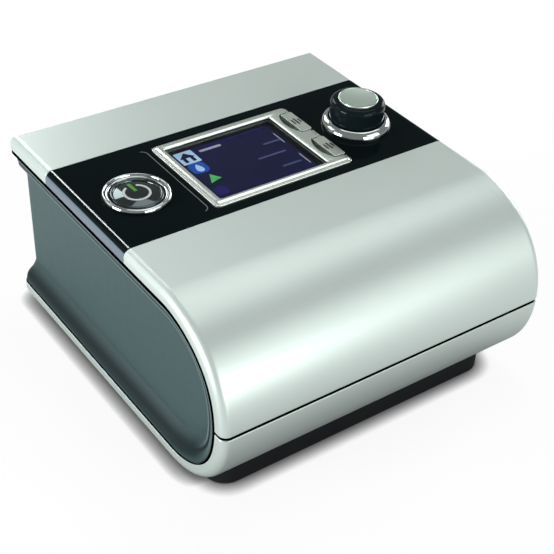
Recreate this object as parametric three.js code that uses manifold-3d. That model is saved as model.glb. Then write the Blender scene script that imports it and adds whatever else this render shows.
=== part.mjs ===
// Bilevel breathing machine for a bedside table: casing, controls, boards, blower and rear connections.
// Millimetres, +Z up. The origin is on the table, under the middle of the whole machine.
// The front faces -Y, and X runs to the right as seen from the front.

import * as THREE from "three";
import { mergeVertices } from "three/addons/utils/BufferGeometryUtils.js";
import Module from "manifold-3d";

const wasm = await Module();
wasm.setup();

// Whole casing, seen from the side: a flat top, a bend down to the nose, and a chin that curls under
const caseWidth = 140;
const caseFront = 76.5;
const caseRear = 69.7;
const caseTop = 75;
const caseUnderside = 4.5;
const noseHeight = 37.2;
const topBendStart = 39.5;
const chinEnd = 45;
const topBendShare = 0.3;
const frontBendShare = 0.772;
const frontChinShare = 0.627;
const underChinShare = 0.51;
const sideEdgeRadius = 3;
const rearCornerRadius = 6.5;
const topCornerRadius = 1.5;
const shellWall = 2.5;
const stripHeight = 5.5;

// Lines between the covers, and the clearances that every fit uses
const fasciaFront = 14.8;
const fasciaRear = 40.4;
const seamHeight = 38.4;
const seamGap = 0.9;
const tongueReach = 3;
const tongueWall = 1.4;
const sideGap = 0.9;
const clearance = 0.3;
const overrun = 5;

// Side panels, which carry the covers on a frame inside
const panelSetback = 0.7;
const panelRecess = 3.6;
const panelWall = 2.2;
const panelLip = 1.8;
const panelLowerLip = 2.6;
const panelCove = 1.8;
const panelCornerRadius = 5;
const panelDepth = 7.3;
const panelReturn = 9.7;
const flangeWall = 2;
const flangeLap = 2;
const pocketChinEnd = 40;

// Case screws, put in from below into bosses on the side panels
const screwInset = 18;
const frontScrewY = -30;
const rearScrewY = 36;
const screwRadius = 1.5;
const screwLength = 13;
const screwHeadRadius = 3;
const screwHeadHeight = 1.8;
const bossRadius = 4.5;
const bossTop = 20;
const ribThickness = 2;

// Base plinth and its four rubber feet
const plinthInset = 12.5;
const plinthFront = 62;
const plinthRear = 60;
const plinthLift = 0.8;
const plinthHeight = 14;
const plinthCorner = 10;
const footInset = 11.5;
const footFrontInset = 12;
const footRearInset = 10;
const footRadius = 7;
const footThickness = 1.9;

// Controls on the top: their places, and how far inside the control board lies
const controlsY = 11.1;
const startInset = 20.6;
const dialInset = 21.9;
const boardDepth = 9.4;
const boardThickness = 1.6;
const boardMargin = 4;
const boardCorner = 2;
const postInset = 15;
const frontPostInset = 6.8;
const rearPostInset = 6.4;
const postRadius = 3;
const stakeRadius = 1.2;
const stakeHeadRadius = 2;
const stakeHeadHeight = 0.9;

// Push switches under the start button and the two keys
const switchSize = 6;
const switchHeight = 3;
const switchFloor = 0.6;
const stemRadius = 1.4;

// Start button with its chrome ring
const startTravel = 1;
const startRingRadius = 12.4;
const startHoleRadius = 11.2;
const startRingWall = 1;
const startRingHeight = 1.5;
const startRingSkirt = 3.2;
const startDomeRadius = 9.6;
const startDomeEdge = 0.6;
const startDomeHeight = 1.5;
const startFlangeRadius = 10.7;
const startFlangeThickness = 0.9;

// Screen: bezel, window and display
const screenX = 0.25;
const screenY = 12.3;
const bezelWidth = 60.5;
const bezelLength = 45.1;
const bezelCorner = 2.2;
const bezelRise = 1.1;
const bezelLipThickness = 1;
const bezelFlange = 1.3;
const bezelFlangeThickness = 1.2;
const frameLeft = 3.5;
const frameFront = 3.15;
const frameRear = 3.55;
const keyBand = 9.3;
const windowLap = 0.7;
const windowThickness = 1;
const displayDrop = 0.4;

// Two keys on the right of the screen, each with a crescent finger scoop on its left
const keyTravel = 0.6;
const keyWidth = 5;
const keyLength = 14.6;
const keyY = 10.4;
const keyThickness = 2.4;
const keyCorner = 0.6;
const scoopWidth = 1.6;

// Dial: chrome ring, encoder, shaft, knob and cap
const dialTravel = 0.5;
const dialRingRadius = 13.6;
const dialHoleRadius = 12.4;
const dialRingWall = 1;
const dialRingHeight = 2;
const dialRingSkirt = 2.8;
const encoderSize = 12;
const encoderHeight = 5;
const encoderBoreRadius = 3.3;
const encoderFloor = 0.8;
const rotorWall = 0.7;
const rotorRise = 0.5;
const shaftRadius = 2;
const knobRadius = 10.6;
const knobTop = 11;
const knobSink = 0.1;
const knobEdge = 1.6;
const knobWall = 1.8;
const knobRoof = 4;
const knobBossRadius = 4.2;
const knobBossStart = 1.5;
const knobSocketRoof = 1.5;
const capRadius = 7.7;
const capRise = 0.5;
const capThickness = 1.2;
const capDish = 0.5;
const capRim = 0.6;

// Blower: where its axis stands, its spiral housing and its round outlet
const outletOffset = 22;
const blowerY = -6;
const blowerBottom = 21;
const blowerHeight = 26;
const blowerWall = 2;
const spiralStart = 27.5;
const ductRadius = 10.5;
const ductWall = 2;
const ductStep = 0.4;
const ductRoot = 3;
const ductEnd = 38;
const eyeRadius = 13;
const eyeWall = 2;
const eyeCollar = 4.2;
const mountDistance = 38;
const mountEarRadius = 5;
const mountEarWidth = 7;
const mountEarThickness = 2.6;
const mountPostTop = 15;
const mountPostRadius = 4;
const mountPinRadius = 1.3;
const mountPinTop = 25.6;
const mountEarBottom = 21.6;

// Impeller and the motor that hangs under the housing
const impellerRadius = 23.5;
const impellerLift = 2;
const impellerDisc = 1.5;
const impellerHubRadius = 5;
const impellerHubHeight = 9;
const bladeInner = 9;
const bladeThickness = 1;
const bladeHeight = 16.5;
const motorShaftRadius = 1.5;
const motorShaftBottom = 8.2;
const bearingRadius = 3;
const bearingTubeWall = 1.3;
const bearingTubeBottom = 10.2;
const statorOuter = 12.6;
const statorBottom = 11.2;
const statorTop = 19;
const statorSlotDepth = 4;
const statorSlotWidth = 2;
const bellWall = 1.4;
const bellBottom = 7.9;
const bellFloor = 1.4;
const bellTop = 20.2;

// Air intake: a flat box with foam over the blower, with an arm to the filter bay
const intakeReach = 20;
const intakeArmWidth = 19;
const intakeFront = -27;
const intakeRear = 46;
const intakeBottom = 50;
const intakeHeight = 10.7;
const intakeWall = 1.5;
const intakeLidThickness = 1.2;
const intakeMouthInset = 3;
const foamChannelRadius = 14.5;

// Filter bay, filter and filter cover at the rear
const bayInset = 1.6;
const bayWidth = 35.4;
const bayBottom = 29.6;
const bayTop = 63.6;
const bayDepth = 12.1;
const bayWall = 1.6;
const filterCoverThickness = 2.4;
const filterFrameWall = 1.2;
const filterThickness = 5;
const louvreHeight = 1.8;
const louvreInset = 4;

// Air outlet: a tapered tube in a round well that takes the hose cuff
const outletHeight = 34;
const wellRadius = 17.5;
const wellWall = 2;
const wellDepth = 16.2;
const wellMargin = 0.2;
const tubeRootRadius = 11.2;
const tubeEndRadius = 10.75;
const tubeWall = 2.3;
const tubeFlangeRadius = 14;
const tubeFlange = 2.3;
const tubeSpigot = 6.4;
const couplerWall = 1.8;
const couplerBulge = 1.5;
const couplerOverlap = 5;

// Main board on posts in the lower shell
const mainInset = 10;
const mainWidth = 24;
const mainFront = -50;
const mainRear = 64;
const mainTabReach = 30;
const mainTabFront = 46;
const mainHeight = 14;
const mainPostInset = 4;
const mainRearPostY = 40;
const tabPostReach = 7;
const tabPostY = 56;
const cellRadius = 10;
const cellThickness = 3.2;
const cellY = 24;
const sounderRadius = 6;
const sounderHeight = 5;
const sounderY = 4;
const capacitorRadius = 4;
const capacitorHeight = 12;
const capacitorInset = 7;
const capacitorY = -36;
const capacitorPitch = 10;
const heatSinkLength = 20;
const heatSinkHeight = 14;
const heatSinkThickness = 3;
const heatSinkInset = 5;
const heatSinkY = -22;

// Power inlet and the clip that holds its plug
const inletReach = 15;
const inletHeight = 21.5;
const inletWidth = 14;
const inletTall = 11.2;
const inletDepth = 17;
const inletBoreRadius = 4.7;
const inletBoreDepth = 11;
const pinRadius = 0.7;
const pinLength = 5;
const pinCircle = 2.4;
const contactThickness = 1.5;
const clipPivotHeight = 25;
const clipPivotReach = 2.2;
const clipArmThickness = 1.6;
const clipArmWidth = 2.6;
const clipSideGap = 1;
const clipLength = 12.4;
const clipPinRadius = 0.8;
const lugThickness = 1.6;
const lugHeight = 4;

// Memory card and its socket
const cardReach = 21;
const cardDrop = 7.7;
const cardWidth = 24;
const cardLength = 32;
const cardThickness = 2.1;
const cardProud = 1.4;
const cardChamfer = 3;
const socketWall = 1.3;
const socketTail = 1.5;
const shelfThickness = 1.6;

// Data port and its rubber cover
const portReach = 17;
const portWidth = 13;
const portTall = 11;
const portDepth = 16;
const portWall = 1.5;
const coverPlugDepth = 2;
const coverProud = 0.5;
const coverThickness = 1.8;

// Counts, angles and steps
const bendSteps = 9;
const edgeSteps = 4;
const domeSteps = 3;
const roundSides = 28;
const smallSides = 12;
const cornerSteps = 2;
const spiralSteps = 30;
const bladeCount = 9;
const bladeSteps = 2;
const bladeSweep = THREE.MathUtils.degToRad(48);
const statorSlots = 9;
const louvreCount = 6;
const pinCount = 3;
const mountAngles = [60, -50, -160].map(THREE.MathUtils.degToRad);

// Sizes that follow from the ones above
const halfWidth = caseWidth / 2;
const outletEnd = caseFront;
const panelFace = halfWidth - panelSetback;
const panelWallFace = panelFace - panelRecess;
const panelInset = stripHeight + sideGap;
const panelRearFace = caseRear - panelSetback;
const panelRearInside = panelRearFace - panelWall;
const panelBottom = caseUnderside + panelInset;
const panelTop = caseTop - panelInset;
const returnEdge = panelWallFace - panelReturn;
const floorTop = caseUnderside + shellWall;
const boardTop = caseTop - boardDepth;
const startX = startInset - halfWidth;
const dialX = halfWidth - dialInset;
const screwX = halfWidth - screwInset;
const postX = halfWidth - postInset;
const boardHalfWidth = postX + boardMargin;
const plinthHalfWidth = halfWidth - plinthInset;
const footX = plinthHalfWidth - footInset;
const outletX = wellRadius + wellWall + wellMargin + clearance - returnEdge;
const blowerX = outletX + outletOffset;
const bayRight = returnEdge - bayInset;
const bayLeft = bayRight - bayWidth;
const intakeArmLeft = bayLeft;
const intakeRight = intakeArmLeft + intakeArmWidth;
const intakeLeft = blowerX - intakeReach;
const mainRight = returnEdge - mainInset;
const mainLeft = mainRight - mainWidth;
const mainMiddle = (mainLeft + mainRight) / 2;
const inletX = bayLeft + inletReach;
const cardX = bayLeft - cardReach;
const cardHeight = intakeBottom - cardDrop;
const portX = bayLeft - portReach;
const mainTop = mainHeight + boardThickness;
const blowerTop = blowerBottom + blowerHeight;
const spiralEnd = blowerX - outletX + ductRadius - ductStep;
const motorBore = motorShaftRadius + clearance;

// Turns a three.js geometry into a solid that can be cut and joined
function solid(geometry) {
  geometry.deleteAttribute("normal");
  geometry.deleteAttribute("uv");
  const merged = mergeVertices(geometry);
  const corners = merged.getAttribute("position").array;
  const triangles = [];
  let volume = 0;
  for (let i = 0; i < merged.index.count; i += 3) {
    const [a, b, c] = merged.index.array.slice(i, i + 3);
    if (a === b || b === c || c === a) continue;
    triangles.push([a, b, c]);
    const [p, q, r] = [a, b, c].map((k) => new THREE.Vector3().fromArray(corners, 3 * k));
    volume += p.dot(q.cross(r));
  }
  const facing = volume < 0 ? triangles.map(([a, b, c]) => [a, c, b]) : triangles;
  return new wasm.Manifold(new wasm.Mesh({
    numProp: 3,
    vertProperties: new Float32Array(corners),
    triVerts: new Uint32Array(facing.flat()),
  }));
}

// Joins a list of solids
function join(solids) {
  return solids.reduce((whole, next) => whole.add(next));
}

// Cuts a list of solids from one solid
function cut(whole, cutters) {
  return cutters.reduce((rest, cutter) => rest.subtract(cutter), whole);
}

// A box between two values on each axis
function block(x0, x1, y0, y1, z0, z1) {
  const geometry = new THREE.BoxGeometry(x1 - x0, y1 - y0, z1 - z0);
  geometry.translate((x0 + x1) / 2, (y0 + y1) / 2, (z0 + z1) / 2);
  return solid(geometry);
}

// A box centred on x and y
function pad(x, y, width, length, z0, z1) {
  return block(x - width / 2, x + width / 2, y - length / 2, y + length / 2, z0, z1);
}

// An upright cylinder
function rod(radius, z0, z1, x = 0, y = 0, sides = roundSides) {
  const geometry = new THREE.CylinderGeometry(radius, radius, z1 - z0, sides);
  geometry.rotateX(Math.PI / 2);
  geometry.translate(x, y, (z0 + z1) / 2);
  return solid(geometry);
}

// A cylinder that lies front to back
function rodAlongY(radius, y0, y1, x, z, sides = roundSides) {
  const geometry = new THREE.CylinderGeometry(radius, radius, y1 - y0, sides);
  geometry.translate(x, (y0 + y1) / 2, z);
  return solid(geometry);
}

// A cylinder that lies from left to right
function rodAlongX(radius, x0, x1, y, z, sides = smallSides) {
  const geometry = new THREE.CylinderGeometry(radius, radius, x1 - x0, sides);
  geometry.rotateZ(Math.PI / 2);
  geometry.translate((x0 + x1) / 2, y, z);
  return solid(geometry);
}

// A shape turned about the upright axis, from radius and height pairs
function turned(profile, sides = roundSides) {
  const points = profile.map(([radius, height]) => new THREE.Vector2(radius, height));
  const geometry = new THREE.LatheGeometry(points, sides);
  geometry.rotateX(Math.PI / 2);
  return solid(geometry);
}

// A shape turned about a line that runs front to back, from radius and depth pairs
function turnedAlongY(profile, x, z, sides = roundSides) {
  const points = profile.map(([radius, depth]) => new THREE.Vector2(radius, depth));
  const geometry = new THREE.LatheGeometry(points, sides);
  geometry.translate(x, 0, z);
  return solid(geometry);
}

// A flat outline raised from z0 to z1
function slab(shape, z0, z1) {
  const geometry = new THREE.ExtrudeGeometry(shape, {
    depth: z1 - z0,
    bevelEnabled: false,
    curveSegments: cornerSteps,
  });
  geometry.translate(0, 0, z0);
  return solid(geometry);
}

// A rectangle with round corners
function roundedRectangle(x0, x1, y0, y1, radius) {
  const shape = new THREE.Shape();
  shape.absarc(x1 - radius, y1 - radius, radius, 0, Math.PI / 2);
  shape.absarc(x0 + radius, y1 - radius, radius, Math.PI / 2, Math.PI);
  shape.absarc(x0 + radius, y0 + radius, radius, Math.PI, 1.5 * Math.PI);
  shape.absarc(x1 - radius, y0 + radius, radius, 1.5 * Math.PI, 2 * Math.PI);
  shape.closePath();
  return shape;
}

// The casing's outline from the side, as front-to-back and height pairs
function sideOutline(front, rear, top, underside, chinStop) {
  const path = new THREE.Path();
  path.moveTo(rear, top);
  path.lineTo(-topBendStart, top);
  const bendReach = topBendShare * (front - topBendStart);
  const bendDrop = frontBendShare * (top - noseHeight);
  path.bezierCurveTo(-topBendStart - bendReach, top, -front, noseHeight + bendDrop, -front, noseHeight);
  const chinDrop = frontChinShare * (noseHeight - underside);
  const chinReach = underChinShare * (front - chinStop);
  path.bezierCurveTo(-front, noseHeight - chinDrop, -chinStop - chinReach, underside, -chinStop, underside);
  path.lineTo(rear, underside);
  return path.getPoints(bendSteps);
}

// Moves each side of an outline inwards by a distance, and its straight rear to a given place
function insetOutline(points, distance, rear) {
  const count = points.length;
  const moved = points.map((point, i) => {
    const before = point.clone().sub(points[(i + count - 1) % count]).normalize();
    const after = points[(i + 1) % count].clone().sub(point).normalize();
    const inwards = new THREE.Vector2(-before.y - after.y, before.x + after.x);
    const reach = distance / (1 + before.dot(after));
    return point.clone().addScaledVector(inwards, reach);
  });
  moved[0].x = rear;
  moved[count - 1].x = rear;
  return moved;
}

// A solid through outlines that stand at growing places along X
function loft(stations) {
  const count = stations[0].points.length;
  const corners = stations.flatMap(({ x, points }) => points.flatMap((point) => [x, point.x, point.y]));
  const index = [];
  for (let s = 0; s < stations.length - 1; s += 1) {
    for (let i = 0; i < count; i += 1) {
      const [a, b] = [s * count + i, s * count + ((i + 1) % count)];
      index.push(a, b, a + count, b, b + count, a + count);
    }
  }
  const last = (stations.length - 1) * count;
  for (const [a, b, c] of THREE.ShapeUtils.triangulateShape(stations[0].points, [])) {
    index.push(c, b, a);
  }
  for (const [a, b, c] of THREE.ShapeUtils.triangulateShape(stations.at(-1).points, [])) {
    index.push(last + a, last + b, last + c);
  }
  const geometry = new THREE.BufferGeometry();
  geometry.setAttribute("position", new THREE.Float32BufferAttribute(corners, 3));
  geometry.setIndex(index);
  return solid(geometry);
}

// The same outline from x0 to x1
function wall(points, x0, x1) {
  return loft([{ x: Math.min(x0, x1), points }, { x: Math.max(x0, x1), points }]);
}

const caseOutline = sideOutline(caseFront, caseRear, caseTop, caseUnderside, chinEnd);

// The casing's outer body, with its side edges and its two upright rear corners rounded
function outerBody(cornerRadius) {
  const rounded = [];
  const span = Math.max(cornerRadius, sideEdgeRadius);
  const roundedInset = (radius, x) => {
    const reach = Math.max(0, x - halfWidth + radius);
    return radius - Math.sqrt(Math.max(0, radius ** 2 - reach ** 2));
  };
  for (let k = 0; k <= edgeSteps; k += 1) {
    const angle = (k / edgeSteps) * (Math.PI / 2);
    const x = halfWidth - span * (1 - Math.sin(angle));
    const rear = caseRear - roundedInset(cornerRadius, x);
    rounded.push({ x, points: insetOutline(caseOutline, roundedInset(sideEdgeRadius, x), rear) });
  }
  const left = rounded.map(({ x, points }) => ({ x: -x, points })).reverse();
  return loft([...left, ...rounded]);
}

// The covers' wrap: a thin shell over the top, front and underside, with short strips down the sides
function coverWrap(cornerRadius) {
  const insideRear = caseRear - shellWall;
  const inside = insetOutline(caseOutline, shellWall, insideRear);
  const opening = insetOutline(caseOutline, stripHeight, caseRear + overrun);
  return cut(outerBody(cornerRadius), [
    wall(inside, shellWall - halfWidth, halfWidth - shellWall),
    wall(opening, -halfWidth - overrun, halfWidth + overrun),
  ]);
}

const wrap = coverWrap(rearCornerRadius);

// The stretch of the wrap between two depths and two heights
function wrapPart(y0, y1, z0, z1) {
  return wrap.intersect(block(-caseWidth, caseWidth, y0, y1, z0, z1));
}

// The rear top cover, whose upright rear corners are tighter than the lower shell's
function rearTopCover() {
  return coverWrap(topCornerRadius).intersect(block(-caseWidth, caseWidth,
    fasciaRear + clearance / 2, caseRear + overrun, noseHeight, caseTop + overrun));
}

function frontCover() {
  const seam = seamHeight + seamGap / 2;
  return wrapPart(-caseFront - overrun, -fasciaFront - clearance / 2, seam, caseTop + overrun);
}

// The places of the control board's four posts
const postRows = [frontPostInset - fasciaFront, fasciaRear - rearPostInset];
const boardPosts = [-postX, postX].flatMap((x) => postRows.map((y) => [x, y]));

// A post whose end carries a board on a heat-formed stake, between two heights
function stakedPost(x, y, root, seat, boardFace, direction) {
  const span = (a, b) => [Math.min(a, b), Math.max(a, b)];
  const head = boardFace + direction * clearance;
  return join([
    rod(postRadius, ...span(root, seat - direction * clearance), x, y, smallSides),
    rod(stakeRadius, ...span(root, head), x, y, smallSides),
    rod(stakeHeadRadius, ...span(head, head + direction * stakeHeadHeight), x, y, smallSides),
  ]);
}

// The glossy band: holes for the ring, the screen and the dial, and four posts for the board
function controlFascia() {
  const band = wrapPart(-fasciaFront, fasciaRear, noseHeight, caseTop + overrun);
  const [low, high] = [caseTop - shellWall - overrun, caseTop + overrun];
  const bezelHole = roundedRectangle(
    screenX - bezelWidth / 2 - clearance,
    screenX + bezelWidth / 2 + clearance,
    screenY - bezelLength / 2 - clearance,
    screenY + bezelLength / 2 + clearance,
    bezelCorner + clearance,
  );
  const posts = boardPosts.map(([x, y]) => stakedPost(x, y, caseTop - shellWall / 2, boardTop,
    boardTop - boardThickness, -1));
  const holed = cut(band, [
    slab(bezelHole, low, high),
    rod(startHoleRadius, low, high, startX, controlsY),
    rod(dialHoleRadius, low, high, dialX, controlsY),
  ]);
  return join([holed, ...posts]);
}

// The places of the main board's posts
const mainPosts = [
  [mainLeft + mainPostInset, mainFront + mainPostInset],
  [mainRight - mainPostInset, mainFront + mainPostInset],
  [mainRight - mainPostInset, mainRearPostY],
  [mainLeft - tabPostReach, tabPostY],
];

const mountPlaces = mountAngles.map((angle) => [
  blowerX + mountDistance * Math.cos(angle),
  blowerY + mountDistance * Math.sin(angle),
]);

const screwPlaces = [-screwX, screwX].flatMap((x) => [frontScrewY, rearScrewY].map((y) => [x, y]));

// The lower shell: the chin and underside, with posts for the main board and the blower
function lowerShell() {
  const tray = wrapPart(-caseFront - overrun, caseRear + overrun, -overrun, seamHeight - seamGap / 2);
  const root = caseUnderside + shellWall / 2;
  const posts = mainPosts.map(([x, y]) => stakedPost(x, y, root, mainHeight, mainTop, 1));
  const tongue = seamTongue();
  const mounts = mountPlaces.map(([x, y]) => join([
    rod(mountPostRadius, root, mountPostTop, x, y, smallSides),
    rod(mountPinRadius, root, mountPinTop, x, y, smallSides),
  ]));
  const holes = screwPlaces.map(([x, y]) => rod(screwRadius + clearance, 0, floorTop + overrun,
    x, y, smallSides));
  return cut(join([tray, tongue, ...posts, ...mounts]), holes);
}

// A tongue behind the seam, rooted in the lower shell and clear of the front cover above it
function seamTongue() {
  const half = panelFace - panelDepth - clearance;
  const inner = shellWall + clearance + tongueWall;
  const ring = (outset, x) => wall(insetOutline(caseOutline, outset, caseRear), -x, x);
  const strip = ring(shellWall + clearance, half).subtract(ring(inner, half + overrun));
  const root = ring(shellWall / 2, half).subtract(ring(inner, half + overrun));
  const band = (z0, z1) => block(-caseWidth, caseWidth, -caseFront - overrun, -fasciaFront, z0, z1);
  const foot = seamHeight - seamGap / 2;
  return join([
    strip.intersect(band(foot - tongueReach, foot + seamGap + tongueReach)),
    root.intersect(band(foot - tongueReach, foot - clearance)),
  ]);
}

// A side panel: a recessed wall inside a lip, a frame that carries the covers, and two screw bosses
function sidePanel(side) {
  const frameEnd = panelFace - panelDepth;
  const seatOutline = insetOutline(caseOutline, shellWall + clearance, caseRear - shellWall - clearance);
  const lipOutline = insetOutline(caseOutline, panelInset, panelRearFace);
  const hollowOutline = insetOutline(caseOutline, panelInset + panelWall, panelRearInside);
  const lipInset = panelInset + panelLip;
  const pocketOutline = sideOutline(caseFront - lipInset, caseRear + overrun, caseTop - lipInset,
    panelBottom + panelLowerLip, pocketChinEnd);
  const pocketRear = caseRear + overrun;
  const coved = insetOutline(pocketOutline, panelCove, pocketRear);
  const full = insetOutline(pocketOutline, 0, pocketRear);
  const pocket = [
    { x: side * panelWallFace, points: coved },
    { x: side * (panelWallFace + panelCove), points: full },
    { x: side * (panelFace + overrun), points: full },
  ];
  const body = join([
    wall(seatOutline, side * frameEnd, side * (halfWidth - shellWall - clearance)),
    wall(lipOutline, side * frameEnd, side * panelFace),
    block(Math.min(side * returnEdge, side * panelWallFace), Math.max(side * returnEdge, side * panelWallFace),
      panelRearInside, panelRearFace, panelBottom, panelTop),
  ]);
  const plan = roundedRectangle(-panelFace, panelFace, -caseWidth, panelRearFace, panelCornerRadius);
  const shell = cut(body.intersect(slab(plan, 0, caseTop)), [
    wall(hollowOutline, side * (frameEnd - overrun), side * (panelWallFace - panelWall)),
    loft(side > 0 ? pocket : pocket.reverse()),
  ]);
  const ribEnd = panelWallFace - panelWall / 2;
  const bosses = [frontScrewY, rearScrewY].map((y) => {
    const boss = join([
      rod(bossRadius, floorTop + clearance, bossTop, side * screwX, y, smallSides),
      block(Math.min(side * screwX, side * ribEnd), Math.max(side * screwX, side * ribEnd),
        y - ribThickness / 2, y + ribThickness / 2, panelBottom + panelWall, bossTop),
    ]);
    return boss.subtract(rod(screwRadius + clearance, 0, bossTop - screwHeadHeight, side * screwX, y, smallSides));
  });
  return join([shell, ...bosses]);
}

// The rear panel: outlet well, filter bay, card shelf, and holes for the connectors
function rearPanel() {
  const [inside, face] = [panelRearInside, panelRearFace];
  const edge = returnEdge - clearance;
  const wellFloor = face - wellDepth;
  const bayBack = face - bayDepth;
  const shelfTop = cardHeight - cardThickness / 2 - clearance - socketWall - clearance;
  const shelfHalf = cardWidth / 2 + clearance + socketWall;
  const slotHalf = cardWidth / 2 + clearance;
  const slotTall = cardThickness / 2 + clearance;
  const lugs = [-1, 1].map((side) => {
    const inner = inletX + side * (inletWidth / 2 + clipSideGap + clipArmThickness + clearance);
    const outer = inner + side * lugThickness;
    const lug = block(Math.min(inner, outer), Math.max(inner, outer), inside,
      face + clipPivotReach + lugHeight / 2, clipPivotHeight - lugHeight / 2, clipPivotHeight + lugHeight / 2);
    return lug.subtract(rodAlongX(clipPinRadius + clearance, Math.min(inner, outer) - overrun,
      Math.max(inner, outer) + overrun, face + clipPivotReach, clipPivotHeight));
  });
  const sheet = join([
    block(-edge, edge, inside, face, panelBottom, panelTop),
    ...rearFlanges(edge),
    rodAlongY(wellRadius + wellWall, wellFloor - wellWall, face, outletX, outletHeight),
    block(bayLeft, bayRight, bayBack, face, bayBottom, bayTop),
    block(cardX - shelfHalf, cardX + shelfHalf, face - cardLength, inside + panelWall / 2,
      shelfTop - shelfThickness, shelfTop),
  ]);
  const holed = cut(sheet, [
    rodAlongY(wellRadius, wellFloor, face + overrun, outletX, outletHeight),
    rodAlongY(tubeRootRadius + clearance, wellFloor - wellWall - overrun, face, outletX, outletHeight),
    block(bayLeft + bayWall, bayRight - bayWall, bayBack + bayWall, face + overrun,
      bayBottom + bayWall, bayTop - bayWall),
    block(intakeArmLeft + intakeMouthInset, intakeRight - intakeMouthInset, bayBack - overrun, face,
      intakeBottom + intakeWall, intakeBottom + intakeHeight - intakeWall),
    pad(inletX, face, inletWidth + 2 * clearance, 2 * overrun,
      inletHeight - inletTall / 2 - clearance, inletHeight + inletTall / 2 + clearance),
    pad(portX, face, portWidth + 2 * clearance, 2 * overrun,
      mainTop, mainTop + portTall + 2 * clearance),
    block(cardX - slotHalf, cardX + slotHalf, inside - overrun, face + overrun,
      cardHeight - slotTall, cardHeight + slotTall),
  ]);
  return join([holed, ...lugs]);
}

// Flanges on the rear panel that close the gaps to the covers above and below it
function rearFlanges(edge) {
  const rear = caseRear - shellWall - clearance;
  const front = rear - flangeWall;
  const wing = panelFace - panelDepth - clearance;
  const spans = [
    [floorTop + clearance, panelBottom + flangeLap],
    [panelTop - flangeLap, caseTop - shellWall - clearance],
  ];
  return spans.flatMap(([z0, z1]) => [
    block(-edge, edge, front, rear, z0, z1),
    block(-wing, wing, front, panelRearInside - clearance, z0, z1),
  ]);
}

// The base plinth follows the chin from below and has pockets for the feet and the screw heads
function basePlinth() {
  const shape = roundedRectangle(-plinthHalfWidth, plinthHalfWidth, -plinthFront, plinthRear, plinthCorner);
  const aboveCase = insetOutline(caseOutline, -clearance, caseRear + overrun);
  const pockets = footPlaces.map(([x, y]) => rod(footRadius + clearance, -overrun,
    footThickness + clearance, x, y, smallSides));
  const holes = screwPlaces.map(([x, y]) => rod(screwHeadRadius + clearance, -overrun,
    plinthHeight, x, y, smallSides));
  return cut(slab(shape, plinthLift, plinthHeight), [wall(aboveCase, -halfWidth, halfWidth), ...pockets, ...holes]);
}

const footRows = [footFrontInset - plinthFront, plinthRear - footRearInset];
const footPlaces = [-footX, footX].flatMap((x) => footRows.map((y) => [x, y]));

// A pan-head screw that points up, from the underside into a side panel's boss
function caseScrew() {
  const seat = caseUnderside - clearance;
  return join([
    rod(screwRadius, seat, seat + screwLength, 0, 0, smallSides),
    rod(screwHeadRadius, seat - screwHeadHeight, seat, 0, 0, smallSides),
  ]);
}

// Controls are built with the casing's top surface at height zero
function startRing() {
  const inner = startHoleRadius - clearance - startRingWall;
  const skirt = startHoleRadius - clearance;
  return turned([
    [inner, -startRingSkirt],
    [skirt, -startRingSkirt],
    [skirt, clearance],
    [startRingRadius, clearance],
    [startRingRadius, clearance + startRingHeight / 3],
    [(inner + 2 * startRingRadius) / 3, startRingHeight],
    [(2 * inner + startRingRadius) / 3, startRingHeight],
    [inner, startRingHeight / 2],
    [inner, -startRingSkirt],
  ]);
}

function startButton() {
  const flangeTop = -startRingSkirt - clearance;
  const flangeBottom = flangeTop - startFlangeThickness;
  const stemBottom = stemEnd(startTravel);
  const dome = [];
  for (let k = 0; k <= domeSteps; k += 1) {
    const share = k / domeSteps;
    dome.push([startDomeRadius * (1 - share), startDomeEdge + (startDomeHeight - startDomeEdge) * share * (2 - share)]);
  }
  return turned([
    [0, stemBottom],
    [stemRadius, stemBottom],
    [stemRadius, flangeBottom],
    [startFlangeRadius, flangeBottom],
    [startFlangeRadius, flangeTop],
    [startDomeRadius, flangeTop],
    ...dome,
  ]);
}

// Height at which a button's stem ends over its switch's floor, for a given travel
function stemEnd(travel) {
  return -boardDepth + clearance + switchFloor + clearance + travel;
}

// A square push switch on the board, open at the top for the button's stem
function switchBody() {
  const base = -boardDepth + clearance;
  return pad(0, 0, switchSize, switchSize, base, base + switchHeight)
    .subtract(rod(stemRadius + clearance, base + switchFloor, base + switchHeight + overrun, 0, 0, smallSides));
}

// Edges of the screen's opening, from the middle of the bezel
const openingLeft = -bezelWidth / 2 + frameLeft;
const openingRight = bezelWidth / 2 - keyBand;
const openingFront = -bezelLength / 2 + frameFront;
const openingRear = bezelLength / 2 - frameRear;
const bezelBottom = -shellWall - clearance - bezelFlangeThickness;
const keyX = bezelWidth / 2 - keyWidth / 2;

// A rectangle around the screen's opening, larger by a margin
function openingBlock(margin, z0, z1) {
  return block(openingLeft - margin, openingRight + margin, openingFront - margin, openingRear + margin, z0, z1);
}

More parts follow.
